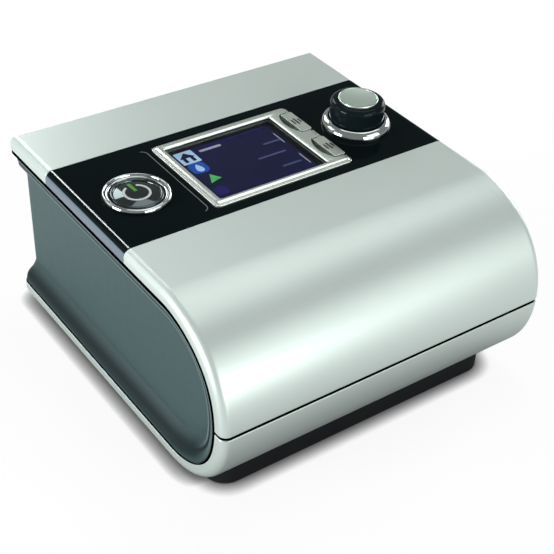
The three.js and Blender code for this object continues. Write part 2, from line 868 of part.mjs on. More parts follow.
function screenBezel() {
  const [w, l] = [bezelWidth / 2, bezelLength / 2];
  const flangeTop = -shellWall - clearance;
  const slotLeft = keyX - keyWidth / 2 - clearance;
  const chord = keyLength / 2 + clearance;
  const scoopRadius = (chord * chord + scoopWidth * scoopWidth) / (2 * scoopWidth);
  const body = join([
    slab(roundedRectangle(-w, w, -l, l, bezelCorner), bezelBottom, bezelRise),
    slab(roundedRectangle(-w - bezelFlange, w + bezelFlange, -l - bezelFlange, l + bezelFlange, bezelCorner),
      bezelBottom, flangeTop),
  ]);
  const keySlots = [-keyY, keyY].flatMap((y) => [
    block(slotLeft, w + overrun, y - chord, y + chord, flangeTop, bezelRise + overrun),
    rod(scoopRadius, flangeTop, bezelRise + overrun, slotLeft - scoopWidth + scoopRadius, y)
      .intersect(block(slotLeft - scoopWidth, slotLeft + clearance, y - chord, y + chord,
        flangeTop, bezelRise + overrun)),
    rod(stemRadius + clearance, bezelBottom - overrun, flangeTop + overrun, keyX, y, smallSides),
  ]);
  return cut(body, [
    openingBlock(0, bezelBottom - overrun, bezelRise + overrun),
    openingBlock(windowLap + clearance, bezelBottom - overrun, bezelRise - bezelLipThickness),
    ...keySlots,
  ]);
}

const windowTop = bezelRise - bezelLipThickness - clearance;

function screenWindow() {
  return openingBlock(windowLap, windowTop - windowThickness, windowTop);
}

function displayModule() {
  return openingBlock(windowLap, -boardDepth + clearance, windowTop - windowThickness - displayDrop);
}

// A key with its stem, centred on its own place
function softKey() {
  const top = bezelRise;
  const [w, l] = [keyWidth / 2, keyLength / 2];
  return join([
    slab(roundedRectangle(-w, w, -l, l, keyCorner), top - keyThickness, top),
    rod(stemRadius, stemEnd(keyTravel), top - keyThickness / 2, 0, 0, smallSides),
  ]);
}

function dialRing() {
  const inner = dialHoleRadius - clearance - dialRingWall;
  const skirt = dialHoleRadius - clearance;
  return turned([
    [inner, -dialRingSkirt],
    [skirt, -dialRingSkirt],
    [skirt, clearance],
    [dialRingRadius, clearance],
    [dialRingRadius, clearance + dialRingHeight / 4],
    [(inner + 2 * dialRingRadius) / 3, dialRingHeight],
    [(2 * inner + dialRingRadius) / 3, dialRingHeight],
    [inner, dialRingHeight / 2],
    [inner, -dialRingSkirt],
  ]);
}

const rotorRadius = encoderBoreRadius - clearance;
const rotorBottom = -boardDepth + clearance + encoderFloor + clearance;
const shaftBottom = rotorBottom + encoderFloor + clearance + dialTravel;
const shaftTop = knobTop - knobSocketRoof - capThickness - clearance;

function encoderBody() {
  const base = -boardDepth + clearance;
  return pad(0, 0, encoderSize, encoderSize, base, base + encoderHeight)
    .subtract(rod(encoderBoreRadius, base + encoderFloor, base + encoderHeight + overrun));
}

function encoderRotor() {
  const bore = rotorRadius - rotorWall;
  return rod(rotorRadius, rotorBottom, rotorRise)
    .subtract(rod(bore, rotorBottom + encoderFloor, rotorRise + overrun));
}

function dialShaft() {
  return rod(shaftRadius, shaftBottom, shaftTop, 0, 0, smallSides);
}

function dialKnob() {
  const rimHeight = knobTop - capThickness + capRise;
  const roof = knobTop - knobRoof;
  const bore = shaftRadius + clearance;
  const recess = capRadius + clearance;
  return turned([
    [0, shaftTop + clearance],
    [bore, shaftTop + clearance],
    [bore, knobBossStart],
    [knobBossRadius, knobBossStart],
    [knobBossRadius, roof],
    [knobRadius - knobWall, roof],
    [knobRadius - knobWall, -knobSink],
    [knobRadius, -knobSink],
    [knobRadius, knobTop - knobEdge],
    [knobRadius - knobEdge / 3, knobTop - knobEdge / 3],
    [knobRadius - knobEdge, knobTop],
    [recess, knobTop],
    [recess, rimHeight - clearance],
    [0, rimHeight - clearance],
  ]);
}

function dialCap() {
  const bottom = knobTop - capThickness + capRise;
  const top = knobTop + capRise;
  return turned([
    [0, bottom],
    [capRadius, bottom],
    [capRadius, top],
    [capRadius - capRim, top],
    [capRadius - 2 * capRim, top - capDish],
    [0, top - capDish],
  ]);
}

// The blower is built round its own upright axis
function spiralRadius(angle) {
  const share = (Math.PI - angle) / (2 * Math.PI);
  return spiralStart + (spiralEnd - spiralStart) * share;
}

function spiralShape(inset) {
  const points = [];
  for (let k = 0; k <= spiralSteps; k += 1) {
    const angle = Math.PI - (k / spiralSteps) * 2 * Math.PI;
    const radius = spiralRadius(angle) - inset;
    points.push(new THREE.Vector2(radius * Math.cos(angle), radius * Math.sin(angle)));
  }
  return new THREE.Shape(points);
}

// The whole spiral housing before it is split into its two halves
function blowerHousing() {
  const ductX = outletX - blowerX;
  const ductTo = ductEnd - blowerY;
  const outside = join([
    slab(spiralShape(0), blowerBottom, blowerTop),
    rodAlongY(ductRadius, -ductRoot, ductTo, ductX, outletHeight),
    rod(eyeRadius + eyeWall, blowerTop - blowerWall, blowerTop + eyeCollar),
  ]);
  return cut(outside, [
    slab(spiralShape(blowerWall), blowerBottom + blowerWall, blowerTop - blowerWall),
    rodAlongY(ductRadius - ductWall, ductWall / 2 - ductRoot, ductTo + overrun, ductX, outletHeight),
    rod(eyeRadius, blowerTop - blowerWall - overrun, blowerTop + eyeCollar + overrun),
  ]);
}

const housing = blowerHousing();
const housingReach = mountDistance + ductEnd;

function blowerLid() {
  return housing.intersect(block(-housingReach, housingReach, -housingReach, housingReach,
    outletHeight + clearance / 2, blowerTop + housingReach));
}

// The lower half carries the bearing tube and three ears that rest on the rubber mounts
function blowerBase() {
  const half = housing.intersect(block(-housingReach, housingReach, -housingReach, housingReach,
    0, outletHeight - clearance / 2));
  const ears = mountAngles.map((angle) => {
    const root = spiralRadius(angle) - blowerWall * 3 / 4;
    const ear = new THREE.BoxGeometry(mountDistance - root, mountEarWidth, mountEarThickness);
    ear.translate((mountDistance + root) / 2, 0, mountEarBottom + mountEarThickness / 2);
    ear.rotateZ(angle);
    const [x, y] = [mountDistance * Math.cos(angle), mountDistance * Math.sin(angle)];
    return cut(join([
      solid(ear),
      rod(mountEarRadius, mountEarBottom, mountEarBottom + mountEarThickness, x, y, smallSides),
    ]), [rod(mountPinRadius + clearance, 0, blowerTop, x, y, smallSides)]);
  });
  const tube = bearingRadius + clearance + bearingTubeWall;
  return cut(join([half, ...ears, rod(tube, bearingTubeBottom, blowerBottom + blowerWall)]), [
    rod(bearingRadius + clearance, 0, blowerBottom + blowerWall + overrun),
  ]);
}

// A rubber ring between a post and an ear
function blowerMount() {
  const [bottom, top] = [mountPostTop + clearance, mountEarBottom - clearance];
  const bore = mountPinRadius + clearance;
  return turned([
    [bore, bottom],
    [mountPostRadius, bottom],
    [mountEarRadius, (bottom + top) / 2],
    [mountPostRadius, top],
    [bore, top],
    [bore, bottom],
  ], smallSides);
}

// The impeller: a disc, a hub and swept-back blades
function impeller() {
  const disc = blowerBottom + blowerWall + impellerLift;
  const blades = [];
  for (let b = 0; b < bladeCount; b += 1) {
    const start = (b / bladeCount) * 2 * Math.PI;
    const [ahead, behind] = [[], []];
    for (let k = 0; k <= bladeSteps; k += 1) {
      const share = k / bladeSteps;
      const radius = bladeInner + (impellerRadius - bladeInner) * share;
      const angle = start + bladeSweep * share;
      const half = bladeThickness / 2 / radius;
      ahead.push(new THREE.Vector2(radius * Math.cos(angle + half), radius * Math.sin(angle + half)));
      behind.unshift(new THREE.Vector2(radius * Math.cos(angle - half), radius * Math.sin(angle - half)));
    }
    const blade = new THREE.Shape([...ahead, ...behind]);
    blades.push(slab(blade, disc + impellerDisc / 2, disc + impellerDisc + bladeHeight));
  }
  return join([
    rod(impellerRadius, disc, disc + impellerDisc),
    rod(impellerHubRadius, disc - clearance, disc + impellerHubHeight, 0, 0, smallSides),
    ...blades,
  ]).subtract(rod(motorBore, 0, blowerTop, 0, 0, smallSides));
}

function motorShaft() {
  const disc = blowerBottom + blowerWall + impellerLift;
  return rod(motorShaftRadius, motorShaftBottom, disc + impellerHubHeight + clearance, 0, 0, smallSides);
}

// A plain sleeve bearing that fills the bearing tube
function motorBearing() {
  return rod(bearingRadius, bearingTubeBottom + clearance, blowerBottom + blowerWall, 0, 0, smallSides)
    .subtract(rod(motorBore, 0, blowerTop, 0, 0, smallSides));
}

// The motor's wound stator round the bearing tube, with a slot between each two teeth
function motorStator() {
  const bore = bearingRadius + bearingTubeWall + 2 * clearance;
  const slots = [];
  for (let k = 0; k < statorSlots; k += 1) {
    const slot = new THREE.BoxGeometry(statorSlotDepth + overrun, statorSlotWidth, statorTop);
    slot.translate(statorOuter - statorSlotDepth + (statorSlotDepth + overrun) / 2, 0, statorTop / 2 + statorBottom / 2);
    slot.rotateZ((k / statorSlots) * 2 * Math.PI);
    slots.push(solid(slot));
  }
  return cut(rod(statorOuter, statorBottom, statorTop), [rod(bore, 0, blowerTop, 0, 0, smallSides), ...slots]);
}

// The motor's bell, a cup that turns round the stator
function motorBell() {
  const inner = statorOuter + clearance;
  return turned([
    [motorBore, bellBottom],
    [inner + bellWall, bellBottom],
    [inner + bellWall, bellTop],
    [inner, bellTop],
    [inner, bellBottom + bellFloor],
    [motorBore, bellBottom + bellFloor],
    [motorBore, bellBottom],
  ]);
}

// The intake box: its outer blocks, smaller by a margin on each side
function intakeBlocks(margin, z0, z1) {
  return join([
    block(intakeLeft + margin, intakeRight - margin, intakeFront + margin, intakeRear - margin, z0, z1),
    block(intakeArmLeft + margin, intakeRight - margin, intakeRear - overrun, intakeArmRear - margin, z0, z1),
  ]);
}

const intakeArmRear = panelRearFace - bayDepth - clearance;
const intakeTop = intakeBottom + intakeHeight;

function intakeBox() {
  return cut(intakeBlocks(0, intakeBottom, intakeTop), [
    intakeBlocks(intakeWall, intakeBottom + intakeWall, intakeTop + overrun),
    rod(eyeRadius + eyeWall + clearance, intakeBottom - overrun, intakeTop, blowerX, blowerY),
    block(intakeArmLeft + intakeMouthInset, intakeRight - intakeMouthInset, intakeArmRear - overrun,
      intakeArmRear + overrun, intakeBottom + intakeWall, intakeTop - intakeWall),
  ]);
}

function intakeLid() {
  return intakeBlocks(0, intakeTop + clearance, intakeTop + clearance + intakeLidThickness);
}

// The foam lines the box and leaves a channel from the filter bay to the blower's eye
function intakeFoam() {
  const margin = intakeWall + clearance;
  const [low, high] = [intakeBottom + intakeWall + clearance, intakeTop - clearance];
  const channelX = (intakeArmLeft + intakeRight) / 2;
  const half = (intakeRight - intakeArmLeft) / 2 - intakeMouthInset;
  const clearOfEye = eyeRadius + eyeWall + 2 * clearance;
  return cut(intakeBlocks(margin, low, high), [
    rod(clearOfEye, low - overrun, high + overrun, blowerX, blowerY),
    block(blowerX, channelX + half, blowerY - foamChannelRadius / 2, blowerY + foamChannelRadius / 2,
      low - overrun, high + overrun),
    block(channelX - half, channelX + half, blowerY, intakeArmRear + overrun, low - overrun, high + overrun),
  ]);
}

// The filter cover: a plate with louvres in front of a frame that holds the filter
const coverLeft = bayLeft + bayWall + clearance;
const coverRight = bayRight - bayWall - clearance;
const coverBottom = bayBottom + bayWall + clearance;
const coverTop = bayTop - bayWall - clearance;
const filterRear = panelRearFace - filterCoverThickness - clearance;
const filterFront = filterRear - filterThickness;

function filterCover() {
  const pitch = (coverTop - coverBottom - 2 * louvreInset) / louvreCount;
  const louvres = [];
  for (let k = 0; k < louvreCount; k += 1) {
    const z = coverBottom + louvreInset + pitch * (k + 1 / 2);
    louvres.push(block(coverLeft + louvreInset, coverRight - louvreInset, filterFront - overrun,
      panelRearFace + overrun, z - louvreHeight / 2, z + louvreHeight / 2));
  }
  return cut(block(coverLeft, coverRight, filterFront - clearance, panelRearFace, coverBottom, coverTop), [
    block(coverLeft + filterFrameWall, coverRight - filterFrameWall, filterFront - overrun,
      panelRearFace - filterCoverThickness, coverBottom + filterFrameWall, coverTop - filterFrameWall),
    ...louvres,
  ]);
}

function airFilter() {
  const margin = filterFrameWall + clearance;
  return block(coverLeft + margin, coverRight - margin, filterFront, filterRear,
    coverBottom + margin, coverTop - margin);
}

// The outlet tube: a tapered cone in the well, with a flange and an inner spigot
const wellBack = panelRearFace - wellDepth - wellWall;

function outletTube() {
  const bore = tubeEndRadius - tubeWall;
  const flangeRear = wellBack - clearance;
  const flangeFront = flangeRear - tubeFlange;
  return turnedAlongY([
    [bore, flangeFront - tubeSpigot],
    [ductRadius, flangeFront - tubeSpigot],
    [ductRadius, flangeFront],
    [tubeFlangeRadius, flangeFront],
    [tubeFlangeRadius, flangeRear],
    [tubeRootRadius, flangeRear],
    [tubeRootRadius, wellBack + wellWall],
    [tubeEndRadius, outletEnd],
    [bore, outletEnd],
    [bore, flangeFront - tubeSpigot],
  ], outletX, outletHeight);
}

// The rubber sleeve that joins the blower's outlet to the tube
function outletCoupler() {
  const inner = ductRadius + clearance;
  const outer = inner + couplerWall;
  const from = ductEnd - couplerOverlap;
  const to = wellBack - 2 * clearance - tubeFlange;
  const middle = (from + to) / 2;
  return turnedAlongY([
    [inner, from],
    [outer, from],
    [outer, middle - couplerBulge],
    [outer + couplerBulge, middle],
    [outer, middle + couplerBulge],
    [outer, to],
    [inner, to],
    [inner, from],
  ], outletX, outletHeight);
}

function controlBoard() {
  const [front, rear] = [postRows[0] - boardMargin, postRows[1] + boardMargin];
  const shape = roundedRectangle(-boardHalfWidth, boardHalfWidth, front, rear, boardCorner);
  const holes = boardPosts.map(([x, y]) => rod(stakeRadius + clearance, 0, caseTop, x, y, smallSides));
  return cut(slab(shape, boardTop - boardThickness, boardTop), holes);
}

// The main board with the parts that are soldered to it
function mainBoard() {
  const holes = mainPosts.map(([x, y]) => rod(stakeRadius + clearance, 0, caseTop, x, y, smallSides));
  const capacitors = [0, capacitorPitch].map((offset) => rod(capacitorRadius, mainHeight,
    mainTop + capacitorHeight, mainLeft + capacitorInset, capacitorY + offset, smallSides));
  return cut(join([
    block(mainLeft, mainRight, mainFront, mainRear, mainHeight, mainTop),
    block(mainLeft - mainTabReach, mainLeft + overrun, mainTabFront, mainRear, mainHeight, mainTop),
    pad(mainRight - heatSinkInset, heatSinkY, heatSinkThickness, heatSinkLength, mainHeight, mainTop + heatSinkHeight),
    rod(sounderRadius, mainHeight, mainTop + sounderHeight, mainMiddle, sounderY, smallSides),
    ...capacitors,
  ]), holes);
}

function powerInlet() {
  return block(inletX - inletWidth / 2, inletX + inletWidth / 2, panelRearFace - inletDepth, panelRearFace,
    inletHeight - inletTall / 2, inletHeight + inletTall / 2)
    .subtract(rodAlongY(inletBoreRadius, panelRearFace - inletBoreDepth, panelRearFace + overrun,
      inletX, inletHeight));
}

const pinPlaces = Array.from({ length: pinCount }, (_, k) => {
  const angle = Math.PI / 2 + (k / pinCount) * 2 * Math.PI;
  return [inletX + pinCircle * Math.cos(angle), inletHeight + pinCircle * Math.sin(angle)];
});

// The contact insert at the bottom of the inlet: a disc with its pins
function inletContacts() {
  const front = panelRearFace - inletBoreDepth + clearance;
  return join([
    rodAlongY(inletBoreRadius - clearance, front, front + contactThickness, inletX, inletHeight, smallSides),
    ...pinPlaces.map(([x, z]) => rodAlongY(pinRadius, front, front + pinLength, x, z, smallSides / 2)),
  ]);
}

// The clip: a bail with two pins, hanging beside and under the power inlet
function retentionClip() {
  const y = panelRearFace + clipPivotReach;
  const inner = inletWidth / 2 + clipSideGap;
  const outer = inner + clipArmThickness;
  const barTop = clipPivotHeight - clipLength + clipArmWidth;
  const arms = [-1, 1].map((side) => {
    const [a, b] = [inletX + side * inner, inletX + side * outer];
    const pinEnd = b + side * (clearance + lugThickness);
    return join([
      block(Math.min(a, b), Math.max(a, b), y - clipArmWidth / 2, y + clipArmWidth / 2,
        barTop - clipArmWidth, clipPivotHeight),
      rodAlongX(clipArmWidth / 2, Math.min(a, b), Math.max(a, b), y, clipPivotHeight),
      rodAlongX(clipPinRadius, Math.min(a, pinEnd), Math.max(a, pinEnd), y, clipPivotHeight),
    ]);
  });
  const bar = block(inletX - outer, inletX + outer, y - clipArmWidth / 2, y + clipArmWidth / 2,
    barTop - clipArmWidth, barTop);
  return join([...arms, bar]);
}

const cardRear = panelRearFace + cardProud;
const cardFront = cardRear - cardLength;

function cardSocket() {
  const half = cardWidth / 2 + clearance;
  const tall = cardThickness / 2 + clearance;
  const rear = panelRearInside - clearance;
  const front = cardFront - clearance;
  return block(cardX - half - socketWall, cardX + half + socketWall, front - socketTail, rear,
    cardHeight - tall - socketWall, cardHeight + tall + socketWall)
    .subtract(block(cardX - half, cardX + half, front, rear + overrun, cardHeight - tall, cardHeight + tall));
}

// The memory card, with one cut corner at its inner end
function memoryCard() {
  const [left, right] = [cardX - cardWidth / 2, cardX + cardWidth / 2];
  const shape = new THREE.Shape();
  shape.moveTo(left, cardRear);
  shape.lineTo(left, cardFront);
  shape.lineTo(right - cardChamfer, cardFront);
  shape.lineTo(right, cardFront + cardChamfer);
  shape.lineTo(right, cardRear);
  shape.closePath();
  return slab(shape, cardHeight - cardThickness / 2, cardHeight + cardThickness / 2);
}

const portBottom = mainTop + clearance;
const portRear = panelRearFace - coverThickness - clearance;

function dataPort() {
  const [w, front] = [portWidth / 2, portRear - portDepth];
  return block(portX - w, portX + w, front, portRear, portBottom, portBottom + portTall)
    .subtract(block(portX - w + portWall, portX + w - portWall, front + portWall, portRear + overrun,
      portBottom + portWall, portBottom + portTall - portWall));
}

function dataPortCover() {
  const w = portWidth / 2;
  const lip = w - portWall - clearance;
  return join([
    block(portX - w, portX + w, panelRearFace - coverThickness, panelRearFace + coverProud,
      portBottom, portBottom + portTall),
    block(portX - lip, portX + lip, portRear - coverPlugDepth, panelRearFace - coverThickness / 2,
      portBottom + portWall + clearance, portBottom + portTall - portWall - clearance),
  ]);
}

// Finishes, one for each kind of material
const finishes = {
  silver: { color: 0xc5d2cc, roughness: 0.35, metalness: 0.3 },
  glossBlack: { color: 0x141816, roughness: 0.08, metalness: 0 },
  slate: { color: 0x56625f, roughness: 0.6, metalness: 0 },
  rubber: { color: 0x1c1c22, roughness: 0.85, metalness: 0 },
  softRubber: { color: 0x8d9190, roughness: 0.7, metalness: 0 },
  chrome: { color: 0xd8dcda, roughness: 0.08, metalness: 1 },
  satinChrome: { color: 0xb4bab2, roughness: 0.3, metalness: 0.9 },
  glass: { color: 0x17183a, roughness: 0.05, metalness: 0 },
  steel: { color: 0x9a9da0, roughness: 0.35, metalness: 1 },
  brass: { color: 0xc9a85a, roughness: 0.3, metalness: 1 },
  copper: { color: 0xb0642f, roughness: 0.4, metalness: 0.9 },
  board: { color: 0x1d5a38, roughness: 0.5, metalness: 0 },
  whitePlastic: { color: 0xe6e8e4, roughness: 0.5, metalness: 0 },
  darkPlastic: { color: 0x26282a, roughness: 0.5, metalness: 0 },
  foam: { color: 0x4a4d52, roughness: 0.95, metalness: 0 },
  filterFelt: { color: 0xdfe6ea, roughness: 0.95, metalness: 0 },
};

// Makes a named mesh from a solid
function piece(name, body, finish) {
  const mesh = body.getMesh();
  const geometry = new THREE.BufferGeometry();
  geometry.setAttribute("position", new THREE.BufferAttribute(mesh.vertProperties, 3));
  geometry.setIndex(new THREE.BufferAttribute(mesh.triVerts, 1));
  geometry.computeVertexNormals();
  const made = new THREE.Mesh(geometry, new THREE.MeshStandardMaterial(finishes[finish]));
  made.name = name;
  return made;
}

// Makes a group of meshes at a place
function assembly(x, y, z, meshes) {
  const group = new THREE.Group();
  group.position.set(x, y, z);
  group.add(...meshes);
  return group;
}

const casing = assembly(0, 0, 0, [
  piece("rear_top_cover", rearTopCover(), "silver"),
  piece("front_cover", frontCover(), "silver"),
  piece("control_fascia", controlFascia(), "glossBlack"),
  piece("lower_shell", lowerShell(), "silver"),
  piece("left_side_panel", sidePanel(-1), "slate"),
  piece("right_side_panel", sidePanel(1), "slate"),
  piece("rear_panel", rearPanel(), "slate"),
  piece("base_plinth", basePlinth(), "rubber"),
]);

const cornerNames = ["front_left", "rear_left", "front_right", "rear_right"];
const feet = footPlaces.map(([x, y], k) => assembly(x, y, 0, [
  piece(`foot_${cornerNames[k]}`, rod(footRadius, 0, footThickness, 0, 0, smallSides), "rubber"),
]));
const screws = screwPlaces.map(([x, y], k) => assembly(x, y, 0, [
  piece(`case_screw_${cornerNames[k]}`, caseScrew(), "steel"),
]));

const startControl = assembly(startX, controlsY, 0, [
  piece("start_button_ring", startRing(), "chrome"),
  piece("start_button", startButton(), "glossBlack"),
  piece("start_switch", switchBody(), "darkPlastic"),
]);

const screen = assembly(screenX, screenY, 0, [
  piece("screen_bezel", screenBezel(), "satinChrome"),
  piece("screen_window", screenWindow(), "glass"),
  piece("display_module", displayModule(), "steel"),
]);

const keys = [["info", keyY], ["setup", -keyY]].map(([name, y]) => assembly(screenX + keyX, screenY + y, 0, [
  piece(`${name}_button`, softKey(), "satinChrome"),
  piece(`${name}_switch`, switchBody(), "darkPlastic"),
]));

const dial = assembly(dialX, controlsY, 0, [
  piece("dial_ring", dialRing(), "chrome"),
  piece("encoder_body", encoderBody(), "darkPlastic"),
  piece("encoder_rotor", encoderRotor(), "whitePlastic"),
  piece("dial_shaft", dialShaft(), "steel"),
  piece("dial_knob", dialKnob(), "glossBlack"),
  piece("dial_cap", dialCap(), "satinChrome"),
]);

const controls = assembly(0, 0, caseTop, [startControl, screen, ...keys, dial]);

const boards = assembly(0, 0, 0, [
  piece("control_board", controlBoard(), "board"),
  piece("main_board", mainBoard(), "board"),
  piece("clock_cell", rod(cellRadius, mainTop + clearance, mainTop + clearance + cellThickness, mainMiddle, cellY),
    "steel"),
]);

const blower = assembly(blowerX, blowerY, 0, [
  piece("blower_base", blowerBase(), "whitePlastic"),
  piece("blower_lid", blowerLid(), "whitePlastic"),
  piece("impeller", impeller(), "whitePlastic"),
  piece("motor_shaft", motorShaft(), "steel"),
  piece("motor_bearing", motorBearing(), "brass"),
  piece("motor_stator", motorStator(), "copper"),
  piece("motor_bell", motorBell(), "steel"),
]);

const mountNames = ["blower_mount_rear", "blower_mount_front", "blower_mount_left"];
const mounts = mountPlaces.map(([x, y], k) => assembly(x, y, 0, [piece(mountNames[k], blowerMount(), "softRubber")]));

const airPath = assembly(0, 0, 0, [
  piece("intake_box", intakeBox(), "darkPlastic"),
  piece("intake_lid", intakeLid(), "darkPlastic"),
  piece("intake_foam", intakeFoam(), "foam"),
  piece("air_filter", airFilter(), "filterFelt"),
  piece("filter_cover", filterCover(), "slate"),
  piece("outlet_coupler", outletCoupler(), "softRubber"),
  piece("outlet_tube", outletTube(), "whitePlastic"),
]);

const connections = assembly(0, 0, 0, [
  piece("power_inlet", powerInlet(), "darkPlastic"),
  piece("inlet_contacts", inletContacts(), "brass"),
  piece("retention_clip", retentionClip(), "darkPlastic"),
  piece("card_socket", cardSocket(), "steel"),
  piece("memory_card", memoryCard(), "darkPlastic"),
  piece("data_port", dataPort(), "darkPlastic"),
  piece("data_port_cover", dataPortCover(), "rubber"),
]);

const machine = new THREE.Group();
machine.name = "bilevel_breathing_machine";
machine.add(casing, ...feet, ...screws, controls, boards, blower, ...mounts, airPath, connections);

export default machine;
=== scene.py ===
"""Dressed scene of a bedside bilevel breathing machine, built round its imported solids.

Sizes are in millimetres in the classes and turned to metres where a mesh is made.
"""

import logging
import math
from collections.abc import Sequence
from dataclasses import dataclass
from enum import Enum
from functools import cache

import bmesh
import bpy
import numpy as np
from mathutils import Matrix, Vector


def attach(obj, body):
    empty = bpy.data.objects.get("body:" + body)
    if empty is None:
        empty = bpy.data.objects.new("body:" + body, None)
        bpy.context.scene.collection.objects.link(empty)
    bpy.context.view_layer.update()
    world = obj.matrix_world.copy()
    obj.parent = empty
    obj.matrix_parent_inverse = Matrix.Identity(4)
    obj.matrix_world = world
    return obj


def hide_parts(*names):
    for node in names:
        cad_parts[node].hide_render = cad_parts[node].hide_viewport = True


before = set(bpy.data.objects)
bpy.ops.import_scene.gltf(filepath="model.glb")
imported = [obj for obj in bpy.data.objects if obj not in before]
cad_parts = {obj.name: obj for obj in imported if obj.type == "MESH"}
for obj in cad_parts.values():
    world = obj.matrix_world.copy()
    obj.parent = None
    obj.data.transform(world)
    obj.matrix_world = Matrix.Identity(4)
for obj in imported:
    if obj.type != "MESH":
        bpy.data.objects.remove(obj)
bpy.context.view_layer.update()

log = logging.getLogger("breathing_machine")
MM = 0.001
MERGE = 2e-6  # points nearer than this, in metres, become one
METAL = 0.9  # from this share of metal on, IOR and specular level stay as they are
UP = np.array([0.0, 0.0, 1.0])
join = np.concatenate
Array, Thing = np.ndarray, bpy.types.Object
Tree, Node, Socket = bpy.types.NodeTree, bpy.types.Node, bpy.types.NodeSocket
Path = tuple[Array, Array]
Span = tuple[float, float]


# ---------------------------------------------------------------- shapes


def arc(cx: float, cy: float, radius: float, start: float, stop: float, steps: int, rise: float = 0.0) -> Array:
    """Points of an arc: the centre plus radius times cosine and rise (or radius) times sine of an even angle."""
    a = np.radians(np.linspace(start, stop, steps + 1))
    return np.stack([cx + radius * np.cos(a), cy + (rise or radius) * np.sin(a)], -1)


def round_rectangle(x0: float, x1: float, y0: float, y1: float, radius: float, steps: int = 8) -> Array:
    """Outline of a rectangle whose corners are quarter circles.

    Args:
        x0: the left side.
        x1: the right side.
        y0: the near side.
        y1: the far side.
        radius: the corners' radius.
        steps: stretches in each corner.

    Returns:
        Points, counter-clockwise from the far right corner.
    """
    r = radius
    corners = ((x1 - r, y1 - r), (x0 + r, y1 - r), (x0 + r, y0 + r), (x1 - r, y0 + r))
    return join([arc(x, y, r, 90 * i, 90 * i + 90, steps) for i, (x, y) in enumerate(corners)])


def lifted(outline: Array, height: float) -> Array:
    """A flat outline at a height."""
    return join([outline, np.full((len(outline), 1), height)], -1)


def carried(path: Path, section: Array) -> Array:
    """Carries a section along a path: each ring is the path's point plus its normal times the section's inset.

    Args:
        path: depth and height of each point, and the inward normals.
        section: X and inset, once round, the same for all points or one for each.

    Returns:
        The rings.
    """
    section = np.broadcast_to(section, (len(path[0]), *section.shape[-2:]))
    flat = path[0][:, None] + path[1][:, None] * section[..., 1:]
    return join([section[..., :1], flat], -1)


def turned_in(points: Array, start: float, radius: float) -> Array:
    """Rounds a rear corner: X drops by the radius less the root of the radius squared less the run squared.

    Args:
        points: places in X, Y and Z.
        start: the depth past which the run counts.
        radius: the corner's radius.

    Returns:
        The moved points.
    """
    run = np.clip(points[..., 1] - start, 0, radius)
    out = points.copy()
    out[..., 0] -= radius - np.sqrt(np.maximum(0, radius**2 - run**2))
    return out


class Axis(Enum):
    """The line that a shape stands along, as the order of its two flat coordinates and the one along it."""

    UP = (0, 1, 2)
    BACK = (0, 2, 1)
    SIDE = (2, 0, 1)

    def place(self, a: Array, b: Array, along: Array) -> Array:
        """Stacks two flat coordinates and one along the axis as X, Y and Z."""
        return np.stack([a, b, along], -1)[..., list(self.value)]


def put(name: str, data: bpy.types.ID) -> Thing:
    """Makes an object and puts it in the scene."""
    thing = bpy.data.objects.new(name, data)
    bpy.context.scene.collection.objects.link(thing)
    return thing


def smooth(data: bpy.types.Mesh, sharp: float) -> None:
    """Shades a mesh smooth, apart from edges that bend by more than sharp degrees."""
    data.shade_smooth()
    data.set_sharp_from_angle(angle=math.radians(sharp))


def weld(name: str, data: bpy.types.Mesh, sharp: float, packed: bool = False) -> Thing:
    """Merges a mesh's doubles, shades it and makes an object of it.

    Args:
        name: the piece's name.
        data: its mesh.
        sharp: edges that bend by more than this many degrees stay sharp.
        packed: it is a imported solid's copy, which faces outwards already and whose flat triangles are joined.

    Returns:
        The new object.
    """
    bm = bmesh.new()
    bm.from_mesh(data)
    bmesh.ops.remove_doubles(bm, verts=bm.verts, dist=MERGE)
    if packed:
        bmesh.ops.dissolve_limit(bm, angle_limit=math.radians(0.5), verts=bm.verts, edges=bm.edges)
    else:
        bmesh.ops.dissolve_degenerate(bm, edges=bm.edges, dist=1e-7)
        bmesh.ops.recalc_face_normals(bm, faces=bm.faces)
    bm.to_mesh(data)
    bm.free()
    smooth(data, sharp)
    return put(name, data)


